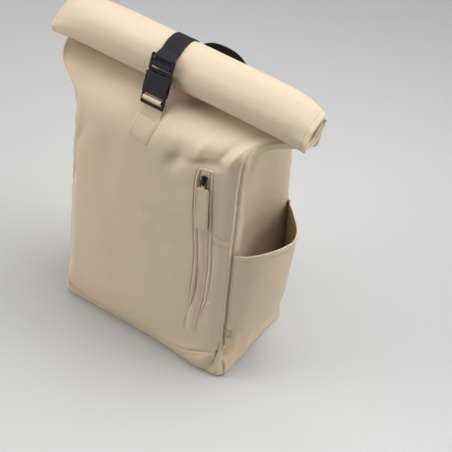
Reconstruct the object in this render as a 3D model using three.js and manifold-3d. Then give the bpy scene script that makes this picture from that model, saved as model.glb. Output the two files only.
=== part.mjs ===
// Rolltop backpack in coated canvas, standing empty with its pocket held open. Millimetres, +Z up.
// The front faces -Y and the shoulder straps hang on +Y. The origin is the middle of the base, on the ground.
import * as THREE from "three";
import Module from "manifold-3d";
import { mergeVertices } from "three/addons/utils/BufferGeometryUtils.js";

const wasm = await Module();
wasm.setup();

// Bag body
const bodyWidth = 280;
const bodyDepth = 150;
const neckHeight = 414; // top edge of the sewn body, where the roll begins
const shoulderLeft = 338; // height at which the left top corner starts to lean in
const shoulderRight = 403; // the fuller right top corner
const cornerCut = 20; // length cut off each corner of the plan by its rounding
const baseBand = 52; // height of the seam between the base and the walls, at the corners
const baseEdge = 6; // rounding where the base turns up
const belly = 15; // how far the front panel swells out
const pocketHollow = 24; // how far a bottle pushes the right side in
const cloth = 1.5;
const seamGap = 0.3;

// Rolled closure
const rollLength = 396;
const rollWall = 2.6; // two layers of cloth lying together
const rollRadius = 33;
const rollFlat = 28; // half thickness of the roll across its flatter way
const rollEndRadius = 28.4;
const rollEndFlat = 15.5;
const rollLean = 38; // degrees that the roll's longer way leans back from level
const rollEndLean = 25; // the same at its two ends
const rollLayer = 3.7; // distance from one turn to the next

// Zipped pocket in the front panel
const zipAcross = 88; // distance to the right of the middle
const zipBottom = 77;
const zipTop = 362;
const slotWidth = 17;
const tapeMargin = 6;
const tapeThickness = 0.9;
const coilWidth = 4.4;
const sliderDrop = 14; // from the slot's top end to the pull's hinge
const sliderWidth = 9;
const sliderLength = 15;
const sliderPlate = 1.8;
const bridgeHeight = 4.4;
const bridgeWidth = 1.8;
const bridgeBar = 1.2;
const hingePin = 1.5; // diameter of the pull's cross bar
const linkWidth = 9.4;
const linkBar = 1.6;
const linkReach = 10;
const pullWidth = 18;
const pullLength = 68;
const pullThickness = 2.6;
const runningGap = 0.35;

// Bottle pocket on the right side
const pocketBottom = 62;
const pocketHem = 243.5; // highest point of the hem
const pocketBulge = 50;
const pocketSeam = 0.035; // share of the side between a corner seam and the pocket's edge
const labelHeight = 15;

// Strap, buckle and cloth tab that hold the roll down
const strapAcross = -14;
const strapWidth = 30;
const webbingThickness = 1.5;
const layerGap = 0.35;
const buckleWidth = 36;
const buckleThickness = 8;
const buckleLean = 20; // degrees that the buckle leans back from upright
const buckleFoot = 403; // height of the middle of its lower end
const buckleForward = 57.6; // distance of its lower end in front of the middle plane
const socketLength = 46;
const buckleLength = 70;
const shellWall = 1.6;
const barRadius = 1.6;
const slotHeight = 5;
const railWidth = 3.4;
const patchWidth = 31;
const patchAside = 5; // how far the sewn patch sits to the left of the strap
const patchBottom = 360;
const patchTop = 388;
const strapEnd = 340; // height at which the strap is sewn to the back

// Shoulder straps and grab handle on the back
const padWidth = 62;
const padThickness = 9;
const padMiddle = 56; // distance of each pad from the middle of the back at its top
const padTop = 332;
const padFoot = 155;
const padFootAcross = 68;
const padStandOff = 47; // room for an arm between the back and the pad
const webbing = 25;
const adjusterWidth = 34;
const tailLength = 78;
const strapFoot = 54; // height at which the lower webbing is sewn in
const strapFootAcross = 102;
const handleSpan = 84; // between the middles of the handle's two feet
const handleFoot = 362;
const handleRise = 42;
const handleStandOff = 15;

const MATERIALS = {
  canvas: { color: 0xd9c5a9, roughness: 0.78, metalness: 0 },
  webbing: { color: 0x15161b, roughness: 0.8, metalness: 0 },
  plastic: { color: 0x101116, roughness: 0.32, metalness: 0 },
  zip_metal: { color: 0x3a3a44, roughness: 0.3, metalness: 1 },
  zip_tape: { color: 0xc9b59a, roughness: 0.85, metalness: 0 },
};

const bag = new THREE.Group();
const radians = THREE.MathUtils.degToRad;

function add(name, finish, geometry, place) {
  const mesh = new THREE.Mesh(geometry, new THREE.MeshStandardMaterial(MATERIALS[finish]));
  mesh.name = name;
  if (place) mesh.applyMatrix4(place);
  bag.add(mesh);
}

// A smooth curve through a table's rows: the value of one column at a place along another.
function along(table, key, at, column) {
  const last = table.length - 1;
  let i = 0;
  while (i < last - 1 && at > table[i + 1][key]) i += 1;
  const [a, b] = [table[i], table[i + 1]];
  const t = THREE.MathUtils.clamp((at - a[key]) / (b[key] - a[key]), 0, 1);
  const before = table[Math.max(i - 1, 0)];
  const after = table[Math.min(i + 2, last)];
  const span = b[key] - a[key];
  const limit = 3 * Math.abs(b[column] - a[column]);
  const slope = (p, q) => {
    const rise = ((q[column] - p[column]) / (q[key] - p[key])) * span;
    return THREE.MathUtils.clamp(rise, -limit, limit);
  };
  const [m0, m1] = [slope(before, b), slope(a, after)];
  const [t2, t3] = [t * t, t * t * t];
  return (
    (2 * t3 - 3 * t2 + 1) * a[column] + (t3 - 2 * t2 + t) * m0 +
    (3 * t2 - 2 * t3) * b[column] + (t3 - t2) * m1
  );
}

function smooth(from, to, at) {
  return THREE.MathUtils.smoothstep(at, from, to);
}

// Plan of the bag at each level: 0 is the ground, 1 the shoulder and 2 the neck.
// rise: share of the height from one whole level to the next
// flare: share of the way from the body's width to the neck's
// front, back: share of half the depth, and at the neck both turn behind the middle
// frontWide, backWide: share of half the width; leftFlare: the same share added at the left
// corner: share of the corner's cut
// swell, hollow: share of the belly in front and of the dent that the bottle makes at the right
// sag: how far the middle of each side hangs below its two seams, as a share of the depth
const COLUMNS = [
  "level", "rise", "flare", "front", "back", "frontWide", "backWide", "leftFlare", "corner", "swell", "hollow",
  "sag",
];
const PLAN = [
  [0.0, 0.0, 0.0, 1.0, 0.98, 1.01, 1.01, 0.01, 0.28, 0.0, 0.0, 0.0],
  [0.1, 0.1, 0.0, 1.03, 0.99, 0.985, 1.0, 0.0, 0.55, 0.7, 0.25, 0.0],
  [0.25, 0.25, 0.0, 1.02, 1.0, 0.985, 1.0, 0.0, 1.0, 1.0, 0.75, 0.0],
  [0.6, 0.6, 0.0, 1.0, 1.0, 0.99, 0.97, -0.02, 1.0, 0.95, 1.0, 0.0],
  [0.85, 0.85, 0.0, 0.97, 1.0, 0.99, 0.94, -0.02, 1.0, 0.7, 0.8, 0.06],
  [1.0, 0.0, 0.0, 0.93, 0.97, 1.0, 0.94, -0.04, 0.9, 0.5, 0.45, 0.17],
  [1.25, 0.4, 0.0, 0.78, 0.91, 1.0, 0.98, 0.01, 0.7, 0.3, 0.2, 0.18],
  [1.5, 0.66, 0.13, 0.54, 0.77, 1.0, 1.0, 0.2, 0.5, 0.15, 0.05, 0.19],
  [1.75, 0.8, 0.53, 0.2, 0.54, 1.0, 1.0, 0.16, 0.3, 0.05, 0.0, 0.18],
  [1.92, 0.88, 0.95, -0.17, 0.32, 1.0, 1.0, 0.02, 0.14, 0.0, 0.0, 0.12],
  [2.0, 1.0, 1.0, -0.22, 0.29, 1.0, 1.0, 0.0, 0.12, 0.0, 0.0, 0.0],
].map((row) => Object.fromEntries(COLUMNS.map((column, i) => [column, row[i]])));

// Creases pressed into the walls. wall: 0 front, 1 right, 2 back, 3 left; across: share of that wall
// up: share of the neck's height; turn: degrees from level; length, width, depth: shares of the body's depth
const CREASES = [
  { wall: 0, across: 0.76, up: 0.895, turn: 20, length: 0.3, width: 0.09, depth: 0.035 },
  { wall: 0, across: 0.9, up: 0.6, turn: -22, length: 0.3, width: 0.09, depth: 0.04 },
  { wall: 0, across: 0.62, up: 0.86, turn: 62, length: 0.26, width: 0.13, depth: 0.05 },
  { wall: 0, across: 0.1, up: 0.74, turn: 70, length: 0.3, width: 0.12, depth: 0.04 },
  { wall: 0, across: 0.93, up: 0.15, turn: 35, length: 0.25, width: 0.1, depth: 0.04 },
  { wall: 0, across: 0.8, up: 0.03, turn: 0, length: 0.6, width: 0.3, depth: -0.06 },
  { wall: 1, across: 0.3, up: 0.1, turn: 8, length: 0.34, width: 0.13, depth: 0.1 },
  { wall: 3, across: 0.5, up: 0.5, turn: 75, length: 0.6, width: 0.2, depth: 0.05 },
];

// Seam of the base along the front, which curves down to the ground in the middle.
// across: share of the front from its left corner; height: share of the base band's height
const BAND = [
  { across: 0.0, height: 1.0 },
  { across: 0.05, height: 0.82 },
  { across: 0.12, height: 0.5 },
  { across: 0.25, height: 0.3 },
  { across: 0.38, height: 0.22 },
  { across: 0.5, height: 0.19 },
  { across: 0.64, height: 0.34 },
  { across: 0.77, height: 0.63 },
  { across: 0.88, height: 0.9 },
  { across: 1.0, height: 1.0 },
];

// Line of the zip. up: share of its length from its lower end; aside: share of the slot's width to the right
const ZIP_LINE = [
  { up: 0.0, aside: 0.0 },
  { up: 0.12, aside: 0.27 },
  { up: 0.27, aside: 0.58 },
  { up: 0.45, aside: 0.64 },
  { up: 0.62, aside: 0.42 },
  { up: 0.82, aside: 0.09 },
  { up: 1.0, aside: 0.0 },
];

const CORNER_SHARE = 0.12; // share of a wall's width count that its rounded corner takes
const shoulderMiddle = (shoulderLeft + shoulderRight) / 2;
const rollNeck = 0.975; // width of the neck as a share of the roll's length
const neckExtra = (rollNeck * rollLength) / bodyWidth - 1;

function planAt(level) {
  const row = {};
  for (const column of COLUMNS.slice(2)) row[column] = along(PLAN, "level", level, column);
  row.frontWide += row.flare * neckExtra;
  row.backWide += row.flare * neckExtra;
  return row;
}

// Height of a level, which leans from the lower left shoulder to the higher right one.
function heightAt(level, side) {
  const shoulder = THREE.MathUtils.lerp(shoulderLeft, shoulderRight, (side + 1) / 2);
  if (level <= 1) return level * shoulderMiddle + (shoulder - shoulderMiddle) * smooth(0.3, 1, level);
  const rows = PLAN.filter((row) => row.level >= 1);
  return shoulder + along(rows, "level", level, "rise") * (neckHeight - shoulder);
}

// The level at which a wall reaches a height.
function levelAt(height, side) {
  let [low, high] = [0, 2];
  for (let i = 0; i < 40; i += 1) {
    const middle = (low + high) / 2;
    if (heightAt(middle, side) < height) low = middle;
    else high = middle;
  }
  return (low + high) / 2;
}

// A point of the plan's outline. u counts the walls: 0 to 1 front, 1 to 2 right, 2 to 3 back, 3 to 4 left.
function outline(u, plan) {
  const wall = ((Math.floor(u) % 4) + 4) % 4;
  const t = u - Math.floor(u);
  const halfWidth = bodyWidth / 2;
  const halfDepth = bodyDepth / 2;
  const corners = [
    [-halfWidth * (plan.frontWide + plan.leftFlare), -halfDepth * plan.front],
    [halfWidth * plan.frontWide, -halfDepth * plan.front],
    [halfWidth * plan.backWide, halfDepth * plan.back],
    [-halfWidth * (plan.backWide + plan.leftFlare), halfDepth * plan.back],
  ].map(([x, y]) => new THREE.Vector2(x, y));
  const from = corners[wall];
  const to = corners[(wall + 1) % 4];
  const shortest = Math.min(halfDepth * (plan.front + plan.back), halfWidth);
  const cut = Math.min(cornerCut * plan.corner, 0.42 * shortest);
  const step = (a, b) => b.clone().sub(a).normalize().multiplyScalar(cut);
  const bend = (corner, ahead, behind, s) => {
    const p0 = corner.clone().add(behind);
    const p2 = corner.clone().add(ahead);
    const p1 = p0.clone().lerp(corner, s);
    return p1.lerp(corner.clone().lerp(p2, s), s);
  };
  if (t < CORNER_SHARE) {
    const back = corners[(wall + 3) % 4];
    return bend(from, step(from, to), step(from, back), 0.5 + (0.5 * t) / CORNER_SHARE);
  }
  if (t > 1 - CORNER_SHARE) {
    const next = corners[(wall + 2) % 4];
    return bend(to, step(to, next), step(to, from), (0.5 * (t - 1 + CORNER_SHARE)) / CORNER_SHARE);
  }
  const share = (t - CORNER_SHARE) / (1 - 2 * CORNER_SHARE);
  return from.clone().add(step(from, to)).lerp(to.clone().add(step(to, from)), share);
}

function creaseDepth(wall, t, z) {
  let depth = 0;
  for (const fold of CREASES) {
    if (fold.wall !== wall) continue;
    const wide = wall % 2 ? bodyDepth : bodyWidth;
    const dx = (t - fold.across) * wide;
    const dz = z - fold.up * neckHeight;
    const [c, s] = [Math.cos(radians(fold.turn)), Math.sin(radians(fold.turn))];
    const run = (dx * c + dz * s) / (fold.length * bodyDepth * 0.5);
    const off = (dz * c - dx * s) / (fold.width * bodyDepth * 0.5);
    depth += fold.depth * bodyDepth * Math.exp(-run * run - off * off);
  }
  return depth * Math.min(1, 6 * t, 6 * (1 - t));
}

// A point of the bag's outer face.
function skin(u, level) {
  const plan = planAt(level);
  const p = outline(u, plan);
  const wall = ((Math.floor(u) % 4) + 4) % 4;
  const t = u - Math.floor(u);
  const side = THREE.MathUtils.clamp(p.x / (bodyWidth / 2), -1, 1);
  const z = heightAt(level, side);
  const dent = creaseDepth(wall, t, z);
  if (wall === 0) p.y += dent - belly * plan.swell * (1 - Math.abs(2 * t - 1) ** 2.6);
  if (wall === 1) p.x -= dent + pocketHollow * plan.hollow * Math.sin(Math.PI * t) ** 2;
  if (wall === 2) p.y -= dent;
  if (wall === 3) p.x += dent;
  const drop = wall % 2 ? bodyDepth * plan.sag * 4 * t * (1 - t) : 0;
  return new THREE.Vector3(p.x, p.y, z - drop);
}

const UP_MOST = 2;

function skinFrame(u, level) {
  const [du, dl] = [0.004, 0.004];
  const here = skin(u, level);
  const ahead = skin(u + du, level).sub(here).normalize();
  const across = here.clone().sub(skin(u - du, level)).normalize().add(ahead).normalize();
  const high = Math.min(level + dl, UP_MOST);
  const up = skin(u, high).sub(skin(u, Math.max(level - dl, 0))).normalize();
  const out = across.clone().cross(up).normalize();
  return { across, out, seam: up, up: out.clone().cross(across) };
}

// A point at a depth under the bag's outer face, or in front of it where the depth is negative.
function under(u, level, depth) {
  return skin(u, level).addScaledVector(skinFrame(u, level).out, -depth);
}

// Grid lines from one place to another that pass through the fixed places, about one step apart.
function lines(from, to, step, fixed = []) {
  const stops = [from, ...fixed.filter((f) => f > from && f < to).sort((a, b) => a - b), to];
  const out = [from];
  for (let i = 1; i < stops.length; i += 1) {
    const count = Math.max(1, Math.round(Math.abs(stops[i] - stops[i - 1]) / step));
    for (let k = 1; k <= count; k += 1) {
      out.push(THREE.MathUtils.lerp(stops[i - 1], stops[i], k / count));
    }
  }
  return out;
}

function closedGeometry(points, faces) {
  const geometry = new THREE.BufferGeometry();
  geometry.setAttribute("position", new THREE.Float32BufferAttribute(points.flatMap((p) => p.toArray()), 3));
  geometry.setIndex(faces);
  return geometry;
}

// A cloth of two faces over a grid. face(u, v, side) gives the outer face for side 0 and the inner for side 1.
// open(u, v) is true for a cell that is cut out, judged at its middle.
function sheetBetween(us, vs, face, open = () => false) {
  const points = [];
  for (const side of [0, 1]) {
    for (const v of vs) for (const u of us) points.push(face(u, v, side));
  }
  const [nu, nv] = [us.length, vs.length];
  const at = (i, j, side) => side * nu * nv + j * nu + i;
  const filled = (i, j) =>
    i >= 0 && j >= 0 && i < nu - 1 && j < nv - 1 &&
    !open((us[i] + us[i + 1]) / 2, (vs[j] + vs[j + 1]) / 2);
  const faces = [];
  const quad = (a, b, c, d) => faces.push(a, b, c, a, c, d);
  for (let j = 0; j < nv - 1; j += 1) {
    for (let i = 0; i < nu - 1; i += 1) {
      if (!filled(i, j)) continue;
      const [a, b, c, d] = [[i, j], [i + 1, j], [i + 1, j + 1], [i, j + 1]];
      quad(at(...a, 0), at(...b, 0), at(...c, 0), at(...d, 0));
      quad(at(...a, 1), at(...d, 1), at(...c, 1), at(...b, 1));
      if (!filled(i, j - 1)) quad(at(...b, 0), at(...a, 0), at(...a, 1), at(...b, 1));
      if (!filled(i + 1, j)) quad(at(...c, 0), at(...b, 0), at(...b, 1), at(...c, 1));
      if (!filled(i, j + 1)) quad(at(...d, 0), at(...c, 0), at(...c, 1), at(...d, 1));
      if (!filled(i - 1, j)) quad(at(...a, 0), at(...d, 0), at(...d, 1), at(...a, 1));
    }
  }
  return closedGeometry(points, faces);
}

// A solid of closed rings, one inside or above the next, that starts and ends in a single point.
function ringSolid(first, rings, last) {
  const points = [first, ...rings.flat(), last];
  const count = rings[0].length;
  const faces = [];
  const at = (ring, i) => 1 + ring * count + (i % count);
  for (let i = 0; i < count; i += 1) {
    faces.push(0, at(0, i), at(0, i + 1));
    for (let ring = 0; ring < rings.length - 1; ring += 1) {
      faces.push(at(ring, i), at(ring + 1, i), at(ring + 1, i + 1));
      faces.push(at(ring, i), at(ring + 1, i + 1), at(ring, i + 1));
    }
    faces.push(at(rings.length - 1, i), points.length - 1, at(rings.length - 1, i + 1));
  }
  return closedGeometry(points, faces);
}

function solidOf(geometry, place = new THREE.Matrix4()) {
  const bare = geometry.clone().applyMatrix4(place);
  bare.deleteAttribute("normal");
  bare.deleteAttribute("uv");
  const merged = mergeVertices(bare, 1e-4);
  const mesh = new wasm.Mesh({
    numProp: 3,
    vertProperties: merged.attributes.position.array,
    triVerts: new Uint32Array(merged.index.array),
  });
  return new wasm.Manifold(mesh);
}

function geometryOf(solid) {
  const mesh = solid.getMesh();
  const geometry = new THREE.BufferGeometry();
  geometry.setAttribute("position", new THREE.BufferAttribute(mesh.vertProperties, 3));
  geometry.setIndex(new THREE.BufferAttribute(mesh.triVerts, 1));
  return geometry;
}

function boxAt(width, depth, height, x, y, z) {
  return solidOf(new THREE.BoxGeometry(width, depth, height).translate(x, y, z));
}

// Walls of the bag. Neighbours share their levels, and their edges run side by side along each seam.

const zipSide = zipAcross / (bodyWidth / 2);
const straightHalf = bodyWidth / 2 - cornerCut;
const frontAt = (x) => CORNER_SHARE + ((x + straightHalf) / (2 * straightHalf)) * (1 - 2 * CORNER_SHARE);
const slotLeft = frontAt(zipAcross - slotWidth / 2);
const slotRight = frontAt(zipAcross + slotWidth / 2);
const slotLow = levelAt(zipBottom, zipSide);
const slotHigh = levelAt(zipTop, zipSide);
const tapeLow = slotLow - tapeMargin / shoulderMiddle;
const tapeHigh = slotHigh + tapeMargin / shoulderMiddle;
const tapeSpan = (tapeMargin * (1 - 2 * CORNER_SHARE)) / (2 * straightHalf);
const tapeAcross = [slotLeft - tapeSpan, slotLeft, slotRight, slotRight + tapeSpan];
const bandLevel = baseBand / shoulderMiddle;
const wallLow = bandLevel + seamGap / shoulderMiddle;
const bandAt = (u) => (u <= 1 ? baseBand * along(BAND, "across", u, "height") : baseBand);
const strapSide = strapAcross / (bodyWidth / 2);
const patchLevels = [levelAt(patchBottom, strapSide), levelAt(patchTop, strapSide)];
const strapLeaves = 1.15; // level at which the strap leaves the back
const sewnLevels = [levelAt(strapEnd, strapSide), strapLeaves, 1.25, 1.38];
const wallLevels = lines(wallLow, UP_MOST, 0.12, [
  levelAt(pocketBottom, 1), tapeLow, slotLow, slotHigh, tapeHigh, ...patchLevels, ...sewnLevels,
  1.5, 1.62, 1.75, 1.84, 1.92,
]);
const strapHalf = (strapWidth / 2 / bodyWidth) * (1 - 2 * CORNER_SHARE) * (bodyWidth / (2 * straightHalf));
const patchHalf = (strapHalf * patchWidth) / strapWidth;
const patchMiddle = frontAt(strapAcross - patchAside);
const patchAcross = [patchMiddle - patchHalf, patchMiddle, patchMiddle + patchHalf];
const sewnAcross = [-1, 1].map((way) => 3 - frontAt(strapAcross) + way * strapHalf);

// The front's grid follows the zip's line beside the slot.
function besideZip(u, level) {
  if (u >= 1) return u;
  const aside = slotWidth * along(ZIP_LINE, "up", (level - slotLow) / (slotHigh - slotLow), "aside");
  const near = smooth(0.5, tapeAcross[0], u) * (1 - smooth(tapeAcross[3], 1 - CORNER_SHARE, u));
  return u + (near * aside * (1 - 2 * CORNER_SHARE)) / (2 * straightHalf);
}

function onFront(u, level, depth) {
  return under(besideZip(u, level), level, depth);
}

// A point of a wall's cloth. At the wall's ends it stands half a seam gap back from the seam line,
// and a little more where the top corners fold sharply.
// Its lowest cells reach down to the base's seam.
function clothPoint(wall, u, nominal, depth) {
  const stretch = Math.max(0, (tapeLow - nominal) / (tapeLow - wallLow));
  const level = nominal - (stretch * (baseBand - bandAt(u))) / shoulderMiddle;
  const seam = u === wall ? 1 : u === wall + 1 ? -1 : 0;
  const sharp = seam ? smooth(1.2, 1.6, level) : 0;
  const p = under(besideZip(u, level), level, depth * (1 - 0.33 * sharp));
  if (seam) {
    const frame = skinFrame(u, level);
    const setBack = seamGap / 2 + (seamGap + 1.65 * depth) * sharp;
    p.addScaledVector(frame.seam.cross(frame.out).normalize(), seam * setBack);
  }
  if (nominal === UP_MOST) p.z = neckHeight;
  if (nominal === wallLow) p.z = bandAt(u) + seamGap;
  return p;
}

function wallPanel(name, wall, acrossStep, fixedAcross, open) {
  const us = lines(wall, wall + 1, acrossStep, [wall + CORNER_SHARE, wall + 1 - CORNER_SHARE, ...fixedAcross]);
  add(name, "canvas", sheetBetween(us, wallLevels, (u, v, side) => clothPoint(wall, u, v, side * cloth), open));
}

const inSlot = (u, v) => u > slotLeft && u < slotRight && v > slotLow && v < slotHigh;
wallPanel("front_panel", 0, 0.07, [...tapeAcross, ...patchAcross], inSlot);
wallPanel("side_panel_right", 1, 0.1, [1 + pocketSeam, 2 - pocketSeam]);
wallPanel("back_panel", 2, 0.1, sewnAcross);
wallPanel("side_panel_left", 3, 0.14, []);

// Base, a shallow tray whose rim meets the walls at the band seam
{
  const us = [0, 1, 2, 3].flatMap((wall) =>
    lines(wall, wall + 1, wall % 2 ? 0.12 : 0.076, [wall + CORNER_SHARE, wall + 1 - CORNER_SHARE]).slice(0, -1),
  );
  const ring = (rise, depth, inset) =>
    us.map((u) => {
      const height = baseEdge + rise * (bandAt(u) - baseEdge);
      const p = under(u, height / shoulderMiddle, depth);
      p.x *= 1 - inset / (bodyWidth / 2);
      p.y *= 1 - inset / (bodyDepth / 2);
      p.z = height;
      return p;
    });
  const flat = (points, height) => points.map((p) => new THREE.Vector3(p.x, p.y, height));
  const middle = (z) => new THREE.Vector3(0, 0, z);
  const rings = [
    flat(ring(0, 0, baseEdge * 0.9), 0),
    flat(ring(0, 0, baseEdge * 0.25), baseEdge * 0.3),
    ring(0, 0, 0),
    ring(0.5, 0, 0),
    ring(1, 0, 0),
    ring(1, cloth, 0),
    ring(0.5, cloth, 0),
    ring(0, cloth, 0),
    flat(ring(0, cloth, baseEdge * 0.9), cloth),
  ];
  add("base_panel", "canvas", ringSolid(middle(0), rings.map((r) => r.reverse()), middle(cloth)));
}

// Rolled closure: a wall of two cloths that rises from the neck and winds over to the front

// station: share of half the length; full: share of the way from the end's size to the middle's size
const ROLL_STATIONS = [
  { station: 0.0, full: 1.0 },
  { station: 0.45, full: 0.98 },
  { station: 0.72, full: 0.9 },
  { station: 0.86, full: 0.68 },
  { station: 0.94, full: 0.36 },
  { station: 1.0, full: 0.0 },
];
// angle: degrees about the roll's middle from the rear, over the top, to the front and under
// layer: how many layers lie outside it
const ROLL_TURNS = [
  { angle: 0, layer: 0.0 },
  { angle: 200, layer: 0.0 },
  { angle: 290, layer: 0.45 },
  { angle: 345, layer: 1.0 },
  { angle: 560, layer: 1.15 },
  { angle: 705, layer: 2.0 },
  { angle: 860, layer: 2.25 },
];
const rollStart = 8;
const rollEnd = 850;
const rollFull = 70; // angle by which the winding is as long as the roll
const rollInner = { from: 300, to: 800, shorter: 0.012 }; // its inner turns are shorter by a share
const neckFront = (-bodyDepth / 2) * PLAN[PLAN.length - 1].front;
const neckBack = (bodyDepth / 2) * PLAN[PLAN.length - 1].back;
const neckMiddle = (neckFront + neckBack) / 2;
const rollForward = 22; // distance of the roll's middle in front of the neck

function rollSize(station) {
  const full = along(ROLL_STATIONS, "station", Math.abs(station), "full");
  const long = THREE.MathUtils.lerp(rollEndRadius, rollRadius, full);
  const flat = THREE.MathUtils.lerp(rollEndFlat, rollFlat, full);
  const lean = radians(THREE.MathUtils.lerp(rollEndLean, rollLean, full));
  const reach = Math.hypot(long * Math.sin(lean), flat * Math.cos(lean));
  const centre = new THREE.Vector2(neckMiddle - rollForward, neckHeight + reach + seamGap);
  return { long, flat, lean, centre };
}

// Middle line of the roll's wall: shares 0 to 1 run up from the neck, and angles follow.
function rollLine(station, at) {
  const { long, flat, lean, centre } = rollSize(station);
  const onTurn = (angle) => {
    const inset = rollWall / 2 + rollLayer * along(ROLL_TURNS, "angle", angle, "layer");
    const phase = radians(angle) - lean;
    const [a, b] = [(long - inset) * Math.cos(phase), (flat - inset) * Math.sin(phase)];
    return new THREE.Vector2(
      centre.x + a * Math.cos(lean) - b * Math.sin(lean),
      centre.y + a * Math.sin(lean) + b * Math.cos(lean),
    );
  };
  if (at >= rollStart) return onTurn(at);
  const foot = new THREE.Vector2(neckMiddle, neckHeight + seamGap);
  const top = onTurn(rollStart);
  const pull = onTurn(rollStart + 12).sub(top).multiplyScalar(-1.2).add(top);
  const rise = foot.clone().add(new THREE.Vector2(1, 4));
  const t = at / rollStart;
  const s = 1 - t;
  const mix = (a, b, c, d) => s ** 3 * a + 3 * s * s * t * b + 3 * s * t * t * c + t ** 3 * d;
  return new THREE.Vector2(mix(foot.x, rise.x, pull.x, top.x), mix(foot.y, rise.y, pull.y, top.y));
}

{
  const stations = [-1, -0.94, -0.86, -0.7, -0.45, -0.15, 0.15, 0.45, 0.7, 0.86, 0.94, 1];
  const tail = [0, 0.3, 0.6, 1].map((s) => s * rollStart);
  const turns = lines(rollStart, rollEnd, 23.5).slice(1);
  const face = (station, at, side) => {
    const here = rollLine(station, at);
    const ahead = rollLine(station, at + 1);
    const along2 = ahead.sub(here).normalize();
    const out = new THREE.Vector2(along2.y, -along2.x).multiplyScalar((side ? 1 : -1) * (rollWall / 2));
    const atNeck = (1 - rollNeck) * (1 - smooth(0, rollFull, at));
    const shrink = 1 - atNeck - rollInner.shorter * smooth(rollInner.from, rollInner.to, at);
    const height = at === 0 ? here.y : here.y + out.y;
    return new THREE.Vector3((station * shrink * rollLength) / 2, here.x + out.x, height);
  };
  add("roll_top", "canvas", sheetBetween(stations, [...tail, ...turns], face));
}

// Zip: tape behind the slot, teeth on the tape, then the slider with its hinged pull

const zipMiddle = frontAt(zipAcross);
{
  const vs = wallLevels.filter((level) => level >= tapeLow && level <= tapeHigh);
  const top = cloth + seamGap;
  const tape = (u, v, side) => onFront(u, v, top + side * tapeThickness);
  add("zip_tape", "zip_tape", sheetBetween(tapeAcross, vs, tape));
  const half = (tapeSpan * coilWidth) / (2 * tapeMargin);
  const rows = wallLevels.filter((level) => level >= slotLow && level <= slotHigh);
  rows[0] += 1 / shoulderMiddle;
  rows[rows.length - 1] -= 1 / shoulderMiddle;
  const teeth = (u, v, side) => onFront(u, v, side ? cloth - 0.2 : 0.2);
  add("zip_teeth", "zip_tape", sheetBetween([zipMiddle - half, zipMiddle + half], rows, teeth));
}

const hingeHeight = zipTop - sliderDrop;
const hingeLevel = levelAt(hingeHeight, zipSide);
const sliderBase = onFront(zipMiddle, hingeLevel, -runningGap);
// the pull hangs along the zip, so its foot lies on the zip's line
const pullFoot = levelAt(hingeHeight - linkReach - pullLength, zipSide);
const local = {
  out: skinFrame(besideZip(zipMiddle, hingeLevel), hingeLevel).out,
  up: sliderBase.clone().sub(onFront(zipMiddle, pullFoot, -runningGap)).normalize(),
};
local.across = local.up.clone().cross(local.out).normalize();
local.out = local.across.clone().cross(local.up);
// local axes: X across the zip, Y inwards, Z up the zip
const sliderPlace = new THREE.Matrix4()
  .makeBasis(local.across, local.out.clone().negate(), local.up)
  .setPosition(sliderBase);
const pinAway = sliderPlate + runningGap + hingePin / 2;
{
  const plate = new THREE.Shape();
  const [w, l] = [sliderWidth / 2, sliderLength / 2];
  plate.moveTo(-w * 0.62, -l);
  plate.lineTo(w * 0.62, -l);
  plate.quadraticCurveTo(w * 0.7, 0, w, l * 0.45);
  plate.quadraticCurveTo(w, l, w * 0.4, l);
  plate.lineTo(-w * 0.4, l);
  plate.quadraticCurveTo(-w, l, -w, l * 0.45);
  plate.quadraticCurveTo(-w * 0.7, 0, -w * 0.62, -l);
  const body = solidOf(
    new THREE.ExtrudeGeometry(plate, { depth: sliderPlate, bevelEnabled: false, curveSegments: 4 })
      .rotateX(Math.PI / 2),
  );
  const reach = sliderLength * 0.36;
  const arch = new THREE.Shape();
  arch.moveTo(-reach, 0);
  arch.lineTo(-reach, bridgeHeight * 0.6);
  arch.lineTo(-reach * 0.6, bridgeHeight);
  arch.lineTo(reach * 0.6, bridgeHeight);
  arch.lineTo(reach, bridgeHeight * 0.6);
  arch.lineTo(reach, 0);
  arch.lineTo(reach - bridgeBar, 0);
  arch.lineTo(reach - bridgeBar, bridgeHeight * 0.45);
  arch.lineTo(reach * 0.5, bridgeHeight - bridgeBar);
  arch.lineTo(-reach * 0.5, bridgeHeight - bridgeBar);
  arch.lineTo(-(reach - bridgeBar), bridgeHeight * 0.45);
  arch.lineTo(-(reach - bridgeBar), 0);
  const bridge = solidOf(
    new THREE.ExtrudeGeometry(arch, { depth: bridgeWidth, bevelEnabled: false })
      .translate(0, 0, -bridgeWidth / 2)
      .applyMatrix4(new THREE.Matrix4().makeBasis(
        new THREE.Vector3(0, 0, 1), new THREE.Vector3(0, -1, 0), new THREE.Vector3(1, 0, 0),
      ))
      .translate(0, -sliderPlate + 0.05, 0),
  );
  add("zip_slider", "zip_metal", geometryOf(body.add(bridge)), sliderPlace);
}

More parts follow.
